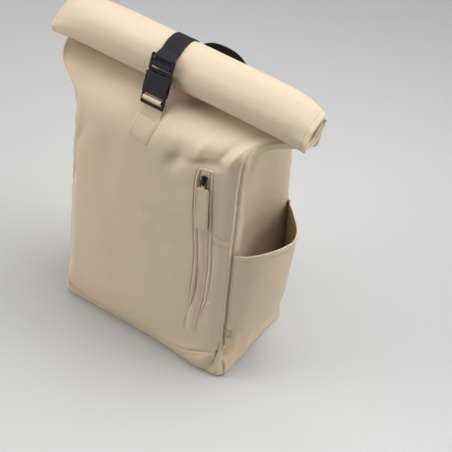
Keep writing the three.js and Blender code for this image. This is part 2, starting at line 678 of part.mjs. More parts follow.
// The pull's frame turns about a pin under the slider's bridge, and a cloth tab is folded round its lower bar.
const pinPlace = sliderPlace.clone().multiply(new THREE.Matrix4().makeTranslation(0, -pinAway, 0));
{
  const bar = new THREE.CylinderGeometry(hingePin / 2, hingePin / 2, linkWidth, 10);
  const pin = solidOf(bar.rotateZ(Math.PI / 2));
  const arms = [-1, 1].map((way) =>
    boxAt(linkBar, linkBar, linkReach, way * (linkWidth - linkBar) / 2, 0, -linkReach / 2),
  );
  const lower = boxAt(linkWidth, linkBar, linkBar, 0, 0, -linkReach);
  const link = arms.reduce((whole, arm) => whole.add(arm), pin.add(lower));
  add("zip_pull_link", "zip_metal", geometryOf(link), pinPlace);

  const fold = linkBar / 2 + runningGap;
  const outer = pullThickness / 2 + fold * 0.6;
  const tab = new THREE.Shape();
  tab.moveTo(-outer, 0);
  tab.absarc(0, 0, outer, Math.PI, 0, true);
  tab.lineTo(pullThickness / 2, -pullLength * 0.25);
  tab.lineTo(pullThickness / 2, -pullLength);
  tab.lineTo(-pullThickness / 2, -pullLength);
  tab.lineTo(-pullThickness / 2, -pullLength * 0.25);
  const hole = new THREE.Path();
  const h = fold;
  hole.moveTo(-h, -h);
  hole.lineTo(h, -h);
  hole.lineTo(h, h);
  hole.lineTo(-h, h);
  tab.holes.push(hole);
  const narrow = linkWidth - 2 * linkBar - 2 * runningGap;
  const strip = (wide) =>
    solidOf(new THREE.ExtrudeGeometry(tab, { depth: wide, bevelEnabled: false, curveSegments: 5 })
      .translate(0, 0, -wide / 2)
      .rotateY(Math.PI / 2));
  const turn = new THREE.Matrix4().makeRotationX(Math.PI / 2);
  const belowLink = boxAt(2 * pullWidth, pullLength, 4 * outer, 0, pullLength / 2 - linkBar - 1.2, 0);
  const shaped = strip(narrow).add(strip(pullWidth).subtract(belowLink));
  const placed = geometryOf(shaped).applyMatrix4(turn).translate(0, 0, -linkReach);
  add("zip_pull_tab", "canvas", placed, pinPlace);
}

// Bottle pocket: one cloth from the front seam round to the back seam of the right side

// up: share of the pocket's height; bulge: share of the pocket's bulge
const POCKET_RISE = [
  { up: 0.0, bulge: 0.12 },
  { up: 0.034, bulge: 0.54 },
  { up: 0.1, bulge: 0.68 },
  { up: 0.35, bulge: 0.84 },
  { up: 0.7, bulge: 0.95 },
  { up: 1.0, bulge: 1.0 },
];
// round: share of the way from the front seam to the back seam; bulge: as above
// lift, dip: how far the lower edge rises and the hem hangs down, as shares of the bulge
const POCKET_TURN = [
  { round: 0.0, bulge: 0.0, lift: 0.0, dip: 0.2 },
  { round: 0.07, bulge: 0.27, lift: 0.04, dip: 0.11 },
  { round: 0.15, bulge: 0.5, lift: 0.12, dip: 0.04 },
  { round: 0.3, bulge: 0.82, lift: 0.22, dip: 0.0 },
  { round: 0.42, bulge: 0.98, lift: 0.26, dip: 0.05 },
  { round: 0.5, bulge: 1.0, lift: 0.27, dip: 0.11 },
  { round: 0.6, bulge: 0.86, lift: 0.26, dip: 0.14 },
  { round: 0.72, bulge: 0.5, lift: 0.24, dip: 0.15 },
  { round: 0.85, bulge: 0.17, lift: 0.2, dip: 0.15 },
  { round: 1.0, bulge: 0.0, lift: 0.15, dip: 0.15 },
];

function pocketPoint(t, up, depth) {
  const low = pocketBottom + pocketBulge * along(POCKET_TURN, "round", t, "lift");
  const high = pocketHem - pocketBulge * along(POCKET_TURN, "round", t, "dip");
  const z = THREE.MathUtils.lerp(low, high, up);
  const level = levelAt(z, 1);
  const away = cloth + seamGap - depth;
  const from = under(1 + pocketSeam, level, -away);
  const to = under(2 - pocketSeam, level, -away);
  const angle = Math.PI * t;
  const bulge = (pocketBulge + away) * along(POCKET_RISE, "up", up, "bulge");
  const x = THREE.MathUtils.lerp(from.x, to.x, t) + bulge * along(POCKET_TURN, "round", t, "bulge");
  const y = THREE.MathUtils.lerp(from.y, to.y, (1 - Math.cos(angle)) / 2);
  return new THREE.Vector3(x, y, z);
}
{
  const turns = lines(0, 1, 1 / 16);
  const rows = [...lines(0, 0.1, 0.034), ...lines(0.1, 1, 0.15).slice(1)];
  add("side_pocket", "canvas", sheetBetween(turns, rows, (t, up, side) => pocketPoint(t, up, side * cloth)));
}

// Plain sewn-in label that lies on the pocket beside its front seam
{
  const rows = [0.1, 0.1 + labelHeight / (pocketHem - pocketBottom)];
  const face = (t, up, side) => pocketPoint(t, up, side ? -0.5 : -1.4);
  add("seam_label", "zip_tape", sheetBetween([0.2 / 16, 1 / 16], rows, face));
}

// Strips of webbing, cloth or padding, each along a path. A row holds its point, its width, its thickness and,
// where the strip turns, its own direction across.
// A row with a level lies on the wall that the walls' places name, one place a column.
function strip(name, finish, rows, across, columns = [-1, 1], edge = 1, places = []) {
  const last = rows.length - 1;
  const frames = rows.map((row, i) => {
    if (!row.at) return null;
    const before = rows[Math.max(i - 1, 0)].at ?? row.at;
    const after = rows[Math.min(i + 1, last)].at ?? row.at;
    const wide = row.across ?? across;
    return { wide, out: wide.clone().cross(after.clone().sub(before)).normalize() };
  });
  const face = (u, v, side) => {
    const row = rows[v];
    if (!row.at) {
      return under(places[columns.indexOf(u)], row.level, -seamGap - (side ? 0 : row.thick));
    }
    const thin = Math.abs(u) === 1 ? edge : 1;
    return row.at.clone()
      .addScaledVector(frames[v].wide, (u * row.width) / 2)
      .addScaledVector(frames[v].out, ((side ? -1 : 1) * row.thick * thin) / 2);
  };
  add(name, finish, sheetBetween(columns, rows.map((row, i) => i), face));
}

// Points on a circle about a bar, in the plane along a strap (first) and away from the bag (second).
function roundBar(middle, from, to) {
  const radius = barRadius + layerGap + webbingThickness / 2;
  return lines(from, to, 45).map((angle) => [
    middle + radius * Math.cos(radians(angle)), radius * Math.sin(radians(angle)),
  ]);
}

// A wall's point at a distance across from the middle and at a height, for the front (0) and the back (2).
function onWall(wall, x, z, away) {
  const level = levelAt(z, THREE.MathUtils.clamp(x / (bodyWidth / 2), -1, 1));
  let [low, high] = [0, 1];
  for (let i = 0; i < 30; i += 1) {
    const middle = (low + high) / 2;
    if (skin(wall + middle, level).x < x === (wall === 0)) low = middle;
    else high = middle;
  }
  return under(wall + low, level, -away);
}

// Buckle in front of the roll. Its own axes are X across, Y along it and upwards, Z away from the bag.

const lean = radians(buckleLean);
const buckleUp = new THREE.Vector3(0, Math.sin(lean), Math.cos(lean));
const buckleOut = new THREE.Vector3(0, -Math.cos(lean), Math.sin(lean));
const buckleStart = new THREE.Vector3(strapAcross, -buckleForward, buckleFoot);
const X_AXIS = new THREE.Vector3(1, 0, 0);
const bucklePlace = new THREE.Matrix4().makeBasis(X_AXIS, buckleUp, buckleOut).setPosition(buckleStart);
const onBuckle = (up, away) =>
  buckleStart.clone().addScaledVector(buckleUp, up).addScaledVector(buckleOut, away);
const lowBar = barRadius;
const loopBar = lowBar + 2 * barRadius + slotHeight;
const shellFoot = loopBar + barRadius + slotHeight;
const plugSlot = socketLength + 4;
const strapBar = plugSlot + slotHeight + barRadius;
const endBar = buckleLength - barRadius;

function roundedPlate(width, bottom, top, radius, thickness) {
  const shape = new THREE.Shape();
  const w = width / 2;
  shape.moveTo(-w + radius, bottom);
  shape.lineTo(w - radius, bottom);
  shape.quadraticCurveTo(w, bottom, w, bottom + radius);
  shape.lineTo(w, top - radius);
  shape.quadraticCurveTo(w, top, w - radius, top);
  shape.lineTo(-w + radius, top);
  shape.quadraticCurveTo(-w, top, -w, top - radius);
  shape.lineTo(-w, bottom + radius);
  shape.quadraticCurveTo(-w, bottom, -w + radius, bottom);
  const bevel = Math.min(0.8, radius / 2);
  const geometry = new THREE.ExtrudeGeometry(shape, {
    depth: thickness - 2 * bevel, bevelThickness: bevel, bevelSize: bevel, bevelOffset: -bevel,
    bevelSegments: 1, curveSegments: 3,
  });
  return solidOf(geometry.translate(0, 0, bevel - thickness / 2));
}

function barAcross(width, at) {
  const bar = new THREE.CylinderGeometry(barRadius, barRadius, width, 10);
  return solidOf(bar.rotateZ(Math.PI / 2).translate(0, at, 0));
}

{
  const openWidth = buckleWidth - 2 * railWidth;
  const frameThick = 2 * barRadius;
  const shell = roundedPlate(buckleWidth, shellFoot - 0.5, socketLength, 3, buckleThickness);
  const room = boxAt(buckleWidth - 2 * shellWall - 2, socketLength, buckleThickness - 2 * shellWall,
    0, shellFoot + shellWall + socketLength / 2, 0);
  const windows = [-1, 1].map((way) =>
    boxAt(5, 12, buckleThickness - 2 * shellWall, way * buckleWidth / 2, socketLength - 16, 0),
  );
  const frame = roundedPlate(buckleWidth, 0, shellFoot + 1, 2.4, frameThick)
    .subtract(boxAt(openWidth, shellFoot - 2 * barRadius + 0.02, 20, 0, (shellFoot + 2 * barRadius) / 2, 0));
  let socket = shell.subtract(room).add(frame).add(barAcross(openWidth + 2, loopBar));
  for (const cut of windows) socket = socket.subtract(cut);
  add("buckle_socket", "plastic", geometryOf(socket), bucklePlace);

  const top = roundedPlate(buckleWidth, socketLength + 0.4, buckleLength, 2.4, frameThick)
    .subtract(boxAt(openWidth, endBar - barRadius - plugSlot, 20, 0, (endBar - barRadius + plugSlot) / 2, 0))
    .add(barAcross(openWidth + 2, strapBar));
  const tongueWidth = buckleWidth - 2 * shellWall - 2 - 2 * runningGap;
  const tongueThick = buckleThickness - 2 * shellWall - 2 * runningGap;
  const prongs = [-1, 1].map((way) =>
    boxAt(4.6, 25, tongueThick, way * (tongueWidth / 2 - 2.3), socketLength - 10.5, 0),
  );
  const guide = boxAt(4.4, 27, tongueThick, 0, socketLength - 11.5, 0);
  const plug = prongs.reduce((whole, prong) => whole.add(prong), top.add(guide));
  add("buckle_plug", "plastic", geometryOf(plug), bucklePlace);
}

const layer = barRadius + layerGap + webbingThickness / 2;
const secondLayer = layer + webbingThickness + 2 * layerGap;
const strapInside = buckleWidth - 2 * railWidth - 2 * layerGap - 0.4;
const wallRow = (level) => ({ level, thick: webbingThickness });

// Cloth tab: sewn flat to the front, then up round the socket's bar and back behind itself
{
  const loop = [
    [lowBar, -layer], [lowBar + 2.4, -layer + 0.5], ...roundBar(loopBar, 180, -90),
    [loopBar - 3, -secondLayer + 1], [lowBar + 1.5, -secondLayer], [lowBar - 1.5, -secondLayer - 0.1],
  ];
  const rows = [
    ...wallLevels.filter((level) => level >= patchLevels[0] && level <= patchLevels[1]).map(wallRow),
    ...loop.map(([up, away]) => ({ at: onBuckle(up, away), width: strapInside, thick: webbingThickness })),
  ];
  strip("buckle_tab", "canvas", rows, X_AXIS, [-1, 0, 1], 1, patchAcross);
}

// Strap from the plug's bar over the roll and down to the back
{
  const fold = [
    [endBar + 1.5, -secondLayer], [endBar - 1.5, -secondLayer], [strapBar + 3, -secondLayer + 1],
    ...roundBar(strapBar, -90, -360), [endBar - 2.4, -layer + 0.5], [endBar, -layer],
  ];
  const overRoll = [];
  const strapTurn = { from: 124, to: 4, step: 15 }; // angles at which it meets and leaves the roll
  const { long, flat, lean: tilt, centre } = rollSize(strapAcross / (rollLength / 2));
  const away = layerGap + webbingThickness / 2;
  for (const angle of lines(strapTurn.from, strapTurn.to, strapTurn.step)) {
    const phase = radians(angle) - tilt;
    const [a, b] = [(long + away) * Math.cos(phase), (flat + away) * Math.sin(phase)];
    const y = centre.x + a * Math.cos(tilt) - b * Math.sin(tilt);
    overRoll.push(new THREE.Vector3(strapAcross, y, centre.y + a * Math.sin(tilt) + b * Math.cos(tilt)));
  }
  // it leaves the back below the neck's flare and passes clear of the bulge under the neck
  const standOff = 2 * webbingThickness;
  const leaving = [1.42, 1.3].map((level) => onWall(2, strapAcross, heightAt(level, strapSide), standOff));
  const points = [...fold.map(([up, out]) => onBuckle(up, out)), ...overRoll, ...leaving];
  const rows = [
    ...points.map((at) => ({ at, width: strapInside, thick: webbingThickness })),
    ...wallLevels.filter((level) => level >= sewnLevels[0] && level <= strapLeaves).map(wallRow).reverse(),
  ];
  strip("closure_strap", "webbing", rows, X_AXIS, [-1, 1], 1, [...sewnAcross].reverse());
}

// Shoulder straps. run: order along the pad; up: share of the pad's height
// away: share of its distance from the back; splay: share of the way to where its foot sits
// wide, thick: shares of the pad's width and thickness
const PAD_RUN = [
  { run: 0, up: 0.0, away: 0.075, splay: 0.0, wide: 0.78, thick: 0.34 },
  { run: 1, up: 0.055, away: 0.095, splay: 0.0, wide: 0.84, thick: 0.6 },
  { run: 2, up: 0.105, away: 0.23, splay: 0.0, wide: 0.9, thick: 0.9 },
  { run: 3, up: 0.12, away: 0.46, splay: 0.0, wide: 0.96, thick: 1.0 },
  { run: 4, up: 0.085, away: 0.7, splay: 0.0, wide: 1.0, thick: 1.0 },
  { run: 5, up: 0.0, away: 0.88, splay: 0.02, wide: 1.0, thick: 1.0 },
  { run: 6, up: -0.14, away: 0.99, splay: 0.1, wide: 1.0, thick: 1.0 },
  { run: 7, up: -0.36, away: 1.0, splay: 0.25, wide: 0.98, thick: 1.0 },
  { run: 8, up: -0.6, away: 0.9, splay: 0.48, wide: 0.9, thick: 1.0 },
  { run: 9, up: -0.82, away: 0.71, splay: 0.75, wide: 0.74, thick: 0.9 },
  { run: 10, up: -0.95, away: 0.56, splay: 0.93, wide: 0.58, thick: 0.6 },
  { run: 11, up: -1.0, away: 0.5, splay: 1.0, wide: 0.54, thick: 0.44 },
];

for (const [side, way] of [["right", 1], ["left", -1]]) {
  const backFace = bodyDepth / 2;
  const padRise = padTop - padFoot;
  const padAt = (row) => new THREE.Vector3(
    way * THREE.MathUtils.lerp(padMiddle, padFootAcross, row.splay),
    backFace + row.away * padStandOff,
    padTop + row.up * padRise,
  );
  const foot = padAt(PAD_RUN[PAD_RUN.length - 1]);
  const sewn = new THREE.Vector3(way * strapFootAcross, backFace + webbingThickness, strapFoot);
  const down = sewn.clone().sub(foot).normalize();
  // the strap's own directions: across it, and away from the back
  const wide = X_AXIS.clone().addScaledVector(down, -X_AXIS.dot(down)).normalize();
  const out = wide.clone().cross(down).normalize();
  const rows = PAD_RUN.map((row) => ({
    at: padAt(row), width: row.wide * padWidth, thick: row.thick * padThickness,
    across: X_AXIS.clone().lerp(wide, row.splay).normalize(),
  }));
  strip("shoulder_pad_" + side, "canvas", rows, wide, [-1, -0.9, -0.45, 0.45, 0.9, 1], 0.4);

  // Adjuster below the pad. Its own axes are X across, Y up along the strap, Z towards the back.
  const span = 2 * barRadius + slotHeight + 0.6;
  const topBar = span;
  const lowerBar = -span;
  const loopLength = 9;
  const middle = foot.clone().addScaledVector(down, loopLength + topBar);
  const axes = [wide, down.clone().negate(), out.clone().negate()];
  const place = new THREE.Matrix4().makeBasis(...axes).setPosition(middle);
  const onStrap = (up, away) => middle.clone().addScaledVector(down, -up).addScaledVector(out, away);
  const openWidth = adjusterWidth - 2 * railWidth;
  const ladder = roundedPlate(adjusterWidth, lowerBar - barRadius, topBar + barRadius, 2, 2 * barRadius)
    .subtract(boxAt(openWidth, topBar - lowerBar, 20, 0, 0, 0))
    .add(barAcross(openWidth + 2, topBar))
    .add(barAcross(openWidth + 2, 0))
    .add(barAcross(openWidth + 2, lowerBar));
  add("adjuster_" + side, "plastic", geometryOf(ladder), place);

  const carry = [
    [topBar + loopLength - 0.4, -1.3], [topBar + 6, -1.6], [topBar + 3.6, -2.3], ...roundBar(topBar, -90, -270),
    [topBar + 3.6, 2.3], [topBar + 6, 1.6], [topBar + loopLength - 0.4, 1.3],
  ];
  const asRows = (points) => points.map((at) => ({ at, width: webbing, thick: webbingThickness }));
  strip("pad_loop_" + side, "webbing", asRows(carry.map(([up, away]) => onStrap(up, away))), wide);

  const fixed = [0, 0.35, 0.7, 0.93].map((share) => {
    const at = sewn.clone().lerp(onStrap(lowerBar, -layer), share);
    return at.addScaledVector(out, -5 * share * (1 - share));
  });
  const overBar = [
    [lowerBar, -layer], [lowerBar / 2, -layer - 0.1], ...roundBar(0, -90, 90), [lowerBar / 2, layer + 0.1],
    [lowerBar, layer], [lowerBar - 4, layer + 0.3],
  ];
  const bend = onStrap(lowerBar - 4, layer + 0.3);
  const fall = new THREE.Vector3(0, 0, -1);
  const tail = [0.12, 0.35, 0.65, 1].map((share) => bend.clone()
    .addScaledVector(down, share * tailLength * 0.5)
    .addScaledVector(fall, share * tailLength * 0.5));
  const lower = [...fixed, ...overBar.map(([up, away]) => onStrap(up, away)), ...tail];
  strip("lower_strap_" + side, "webbing", asRows(lower), wide);
}

// Grab handle: an arch of webbing with both feet sewn to the back above the pads
{
  const half = handleSpan / 2;
  const feet = [0, 0.5, 1].map((share) => {
    const z = handleFoot - 16 + share * 16;
    return onWall(2, half, z, 0.5 + webbingThickness / 2);
  });
  const arch = [8, 22, 36, 50, 64, 77, 90].map((angle) => new THREE.Vector3(
    half * Math.cos(radians(angle)) ** 0.8,
    bodyDepth / 2 + 1.5 + handleStandOff * Math.sin(radians(angle)),
    handleFoot + handleRise * Math.sin(radians(angle)),
  ));
  const rightHalf = [...feet, ...arch];
  const leftHalf = rightHalf.slice(0, -1).reverse().map((p) => new THREE.Vector3(-p.x, p.y, p.z));
  const points = [...rightHalf, ...leftHalf];
  const last = points.length - 1;
  const outwards = new THREE.Vector3(0, 1, 0);
  const rows = points.map((at, i) => {
    const ahead = points[Math.min(i + 1, last)].clone().sub(points[Math.max(i - 1, 0)]).normalize();
    const across = ahead.clone().cross(outwards).normalize();
    return { at, width: webbing, thick: webbingThickness * 1.4, across };
  });
  strip("grab_handle", "webbing", rows, X_AXIS);
}

export default bag;
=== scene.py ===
"""Rolltop backpack in coated canvas: its cloth, zip, buckle, straps and stitching, fitted over the frame.

Lengths are metres. The front faces -Y, the shoulder straps hang on +Y, and the bottle pocket is on +X.
"""

import math

import bmesh
import bpy
import numpy as np
from bpy.props import FloatProperty, FloatVectorProperty, PointerProperty
from mathutils import Matrix, Vector
from mathutils.kdtree import KDTree


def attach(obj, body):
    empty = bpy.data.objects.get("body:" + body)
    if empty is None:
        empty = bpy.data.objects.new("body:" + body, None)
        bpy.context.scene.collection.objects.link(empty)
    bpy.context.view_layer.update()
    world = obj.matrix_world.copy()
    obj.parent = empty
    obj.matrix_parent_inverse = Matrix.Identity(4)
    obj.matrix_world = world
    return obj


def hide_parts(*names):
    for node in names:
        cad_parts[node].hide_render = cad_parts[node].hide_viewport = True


bl_info = {
    "name": "Rolltop Backpack",
    "version": (1, 0, 0),
    "blender": (4, 5, 0),
    "location": "View3D > Sidebar > Backpack",
    "description": "Dresses a rolltop backpack in canvas, webbing, thread and moulded fittings",
    "category": "Object",
}

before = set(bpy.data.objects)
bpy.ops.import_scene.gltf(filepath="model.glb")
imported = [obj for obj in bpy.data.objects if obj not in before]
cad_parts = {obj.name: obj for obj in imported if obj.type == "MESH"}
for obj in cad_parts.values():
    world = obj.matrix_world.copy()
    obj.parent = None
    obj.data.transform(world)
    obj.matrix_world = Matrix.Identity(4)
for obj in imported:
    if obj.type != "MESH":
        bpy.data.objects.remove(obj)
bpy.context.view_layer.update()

# Sizes and colours


def length(label, text, default, low=0.0, high=1.0):
    return FloatProperty(
        name=label, description=text, default=default, min=low, max=high, unit="LENGTH", precision=5,
    )


def share(label, text, default):
    return FloatProperty(name=label, description=text, default=default, min=0, max=1, subtype="FACTOR")


def turn_angle(label, text, degrees):
    return FloatProperty(name=label, description=text, default=math.radians(degrees), subtype="ANGLE")


def colour(label, text, default):
    return FloatVectorProperty(
        name=label, description=text, default=default, min=0, max=1, size=3, subtype="COLOR",
    )


class BodySizes(bpy.types.PropertyGroup):
    width: length("Width", "Width of the body between its side seams", 0.280)
    depth: length("Depth", "Depth of the body at its base", 0.150)
    neck_height: length("Neck height", "Height at which the roll begins", 0.414)
    shoulder_left: length("Left shoulder", "Height at which the left corner leans in", 0.338)
    shoulder_right: length("Right shoulder", "Height of the fuller right corner", 0.403)
    corner_cut: length("Corner cut", "Length that the rounding cuts off each corner", 0.020)
    base_band: length("Base band", "Height of the base seam at the corners", 0.052)
    base_edge: length("Base edge", "Rounding where the base turns up", 0.006)
    belly: length("Belly", "How far the front swells out", 0.015)
    hollow: length("Hollow", "How far the right side is pushed in behind the pocket", 0.024)
    cloth: length("Cloth", "Thickness of the coated canvas", 0.0015)
    seam_gap: length("Seam gap", "Distance between two cloths lying side by side", 0.0003)
    seam_dip: length("Seam dip", "How deep a seam draws the cloth in", 0.0015)
    unevenness: length("Unevenness", "Height of the soft waves in the cloth", 0.0009)


class RollSizes(bpy.types.PropertyGroup):
    length: length("Length", "Length of the rolled top from end to end", 0.396)
    wall: length("Wall", "Thickness of the two cloths that are wound together", 0.0026)
    radius: length("Radius", "Half thickness of the roll, the longer way", 0.033)
    flat: length("Flat", "Half thickness of the roll, the flatter way", 0.028)
    end_radius: length("End radius", "Half thickness of the roll's ends, the longer way", 0.0284)
    end_flat: length("End flat", "Half thickness of the roll's ends, the flatter way", 0.0155)
    lean: turn_angle("Lean", "Angle that the longer way leans back from level", 38)
    end_lean: turn_angle("End lean", "The same angle at the roll's ends", 25)
    layer: length("Layer", "Distance from one turn to the next", 0.0037)
    forward: length("Forward", "Distance of the roll's middle in front of the neck", 0.022)


class ZipSizes(bpy.types.PropertyGroup):
    across: length("Across", "Distance of the zip to the right of the middle", 0.088)
    bottom: length("Bottom", "Height of the slot's lower end", 0.077)
    top: length("Top", "Height of the slot's upper end", 0.362)
    slot: length("Slot", "Width of the slot in the front cloth", 0.017)
    margin: length("Margin", "How far the tape reaches behind the cloth", 0.006)
    tape: length("Tape", "Thickness of the zip tape", 0.0009)
    coil: length("Coil", "Width of the closed coil", 0.0044)
    slider_drop: length("Slider drop", "From the slot's top to the pull's hinge", 0.014)
    slider_plate: length("Slider plate", "Thickness of the slider's plate", 0.0018)
    pin: length("Pin", "Diameter of the pull's cross bar", 0.0015)
    link_width: length("Link width", "Width of the pull's metal link", 0.0094)
    link_bar: length("Link bar", "Thickness of the link's wire", 0.0016)
    link_reach: length("Link reach", "From the pin to the link's lower bar", 0.010)
    pull_width: length("Pull width", "Width of the cloth pull tab", 0.018)
    pull_length: length("Pull length", "Length of the cloth pull tab", 0.068)
    pull_thick: length("Pull thickness", "Thickness of the cloth pull tab", 0.0026)
    running_gap: length("Running gap", "Clearance between moving pieces", 0.00035)


class PocketSizes(bpy.types.PropertyGroup):
    bottom: length("Bottom", "Height of the pocket's lower edge at the front", 0.062)
    hem: length("Hem", "Height of the highest point of the pocket's upper edge", 0.2435)
    bulge: length("Bulge", "How far the pocket stands out at its middle", 0.050)
    hem_fold: length("Hem fold", "Height of the doubled hem", 0.0105)
    label: length("Label", "Height of the plain sewn-in label", 0.015)


class StrapSizes(bpy.types.PropertyGroup):
    across: length("Across", "Distance of the closing strap from the middle, to the right", -0.014, -0.1)
    width: length("Width", "Width over which the strap squeezes the roll", 0.030)
    thick: length("Thickness", "Thickness of the webbing", 0.0015)
    gap: length("Layer gap", "Distance between two layers of webbing", 0.00035)
    buckle_width: length("Buckle width", "Width of the side-release buckle", 0.036)
    buckle_lean: turn_angle("Buckle lean", "Angle that the buckle leans back from upright", 20)
    buckle_foot: length("Buckle foot", "Height of the buckle's lower end", 0.403)
    buckle_forward: length("Buckle forward", "Distance of its lower end in front of the middle", 0.0576)
    socket_length: length("Socket length", "Length of the lower half", 0.046)
    buckle_length: length("Buckle length", "Length of both halves together", 0.070)
    bar: length("Bar", "Half thickness of the bars that the webbing turns round", 0.0016)
    opening: length("Opening", "Height of the openings between the bars", 0.005)
    rail: length("Rail", "Width of the rails beside the bars", 0.0034)
    patch_width: length("Patch width", "Width of the cloth patch sewn to the front", 0.031)
    patch_aside: length("Patch aside", "How far the patch sits to the left of the strap", 0.005)
    patch_bottom: length("Patch bottom", "Height of the patch's lower edge", 0.360)
    patch_top: length("Patch top", "Height at which the patch leaves the front", 0.388)
    sewn: length("Sewn", "Height at which the strap is sewn to the back", 0.340)
    pad_width: length("Pad width", "Width of the padded shoulder straps", 0.062)
    pad_thick: length("Pad thickness", "Thickness of the padding", 0.009)
    pad_middle: length("Pad middle", "Distance of each pad from the middle at its top", 0.056)
    pad_top: length("Pad top", "Height at which the pads leave the back", 0.332)
    pad_foot: length("Pad foot", "Height of the pads' lower ends", 0.155)
    pad_foot_across: length("Pad foot across", "Distance of the lower ends from the middle", 0.068)
    pad_stand_off: length("Stand off", "Room for an arm between the back and a pad", 0.047)
    webbing: length("Webbing", "Width of the lower webbing and the handle", 0.025)
    tail: length("Tail", "Length of the loose end below each adjuster", 0.078)
    foot: length("Foot", "Height at which the lower webbing is sewn in", 0.054)
    foot_across: length("Foot across", "Distance of the lower webbing from the middle", 0.102)
    handle_span: length("Handle span", "Between the middles of the handle's feet", 0.084)
    handle_foot: length("Handle foot", "Height at which the handle leaves the back", 0.362)
    handle_rise: length("Handle rise", "Height of the handle's arch", 0.042)
    handle_stand_off: length("Handle stand off", "How far the handle stands off the back", 0.015)


class StitchSizes(bpy.types.PropertyGroup):
    pitch: length("Pitch", "From one stitch to the next", 0.0034)
    stitch: length("Stitch", "Length of one stitch", 0.0026)
    thread: length("Thread", "Thickness of the thread", 0.00055)
    edge: length("Edge", "Distance of a topstitch from its seam", 0.006)
    hem: length("Hem", "The same beside the seam of the base", 0.0035)


class Finishes(bpy.types.PropertyGroup):
    canvas: colour("Canvas", "Colour of the coated canvas", (0.672, 0.513, 0.388))
    lining: colour("Lining", "Colour of the cloth's inner face", (0.43, 0.33, 0.24))
    thread: colour("Thread", "Colour of the sewing thread", (0.47, 0.355, 0.255))
    black_thread: colour("Black thread", "Colour of the thread on the webbing", (0.02, 0.02, 0.025))
    # The tape is a little lighter than the canvas. This is painted light that offsets the shade the tape lies
    # in within the slot.
    tape: colour("Tape", "Colour of the zip tape", (0.72, 0.565, 0.42))
    webbing: colour("Webbing", "Colour of the black webbing", (0.010, 0.010, 0.014))
    plastic: colour("Plastic", "Colour of the moulded plastic", (0.004, 0.004, 0.007))
    metal: colour("Metal", "Colour of the zip's metal", (0.075, 0.072, 0.085))
    label: colour("Label", "Colour of the plain label", (0.52, 0.42, 0.31))
    floor: colour("Floor", "Colour of the floor", (0.58, 0.582, 0.568))
    thread_pitch: length("Thread pitch", "Distance between the canvas's threads", 0.0006, 0.0001, 0.01)
    wear: share("Wear", "How much lighter the worn edges are", 0.25)


def settings(name):
    return getattr(bpy.context.scene, "backpack_" + name)


# Shapes shared with the solids

# Plan of the bag at each level: 0 is the ground, 1 the shoulder and 2 the neck. Values are shares.
PLAN = {
    "level": [0.0, 0.1, 0.25, 0.6, 0.85, 1.0, 1.25, 1.5, 1.75, 1.92, 2.0],
    "rise": [0.0, 0.1, 0.25, 0.6, 0.85, 0.0, 0.4, 0.66, 0.8, 0.88, 1.0],
    "front": [1.0, 1.03, 1.02, 1.0, 0.97, 0.93, 0.78, 0.54, 0.2, -0.17, -0.22],
    "back": [0.98, 0.99, 1.0, 1.0, 1.0, 0.97, 0.91, 0.77, 0.54, 0.32, 0.29],
    "front_wide": [1.01, 0.985, 0.985, 0.99, 0.99, 1.0, 1.0, 1.0, 1.0, 1.0, 1.0],
    "back_wide": [1.01, 1.0, 1.0, 0.97, 0.94, 0.94, 0.98, 1.0, 1.0, 1.0, 1.0],
    "flare": [0.0, 0.0, 0.0, 0.0, 0.0, 0.0, 0.0, 0.13, 0.53, 0.95, 1.0],
    "left_flare": [0.01, 0.0, 0.0, -0.02, -0.02, -0.04, 0.01, 0.2, 0.16, 0.02, 0.0],
    "corner": [0.28, 0.55, 1.0, 1.0, 1.0, 0.9, 0.7, 0.5, 0.3, 0.14, 0.12],
    "swell": [0.0, 0.7, 1.0, 0.95, 0.7, 0.5, 0.3, 0.15, 0.05, 0.0, 0.0],
    "hollow": [0.0, 0.25, 0.75, 1.0, 0.8, 0.45, 0.2, 0.05, 0.0, 0.0, 0.0],
    "sag": [0.0, 0.0, 0.0, 0.0, 0.06, 0.17, 0.18, 0.19, 0.18, 0.12, 0.0],
}
UP_MOST = 2.0
NECK = 0.975  # width of the neck as a share of the roll's length
CORNER = 0.12  # share of a wall's width count that its rounded corner takes

# Creases pressed into the walls. wall: 0 front, 1 right, 2 back, 3 left; across: share of that wall
# up: share of the neck's height; turn: degrees from level; long, wide, deep: shares of the body's depth
CREASES = [
    dict(wall=0, across=0.76, up=0.895, turn=20, long=0.3, wide=0.09, deep=0.035),
    dict(wall=0, across=0.9, up=0.6, turn=-22, long=0.3, wide=0.09, deep=0.04),
    dict(wall=0, across=0.62, up=0.86, turn=62, long=0.26, wide=0.13, deep=0.05),
    dict(wall=0, across=0.1, up=0.74, turn=70, long=0.3, wide=0.12, deep=0.04),
    dict(wall=0, across=0.93, up=0.15, turn=35, long=0.25, wide=0.1, deep=0.04),
    dict(wall=0, across=0.8, up=0.03, turn=0, long=0.6, wide=0.3, deep=-0.06),
    dict(wall=1, across=0.3, up=0.1, turn=8, long=0.34, wide=0.13, deep=0.1),
    dict(wall=3, across=0.5, up=0.5, turn=75, long=0.6, wide=0.2, deep=0.05),
]

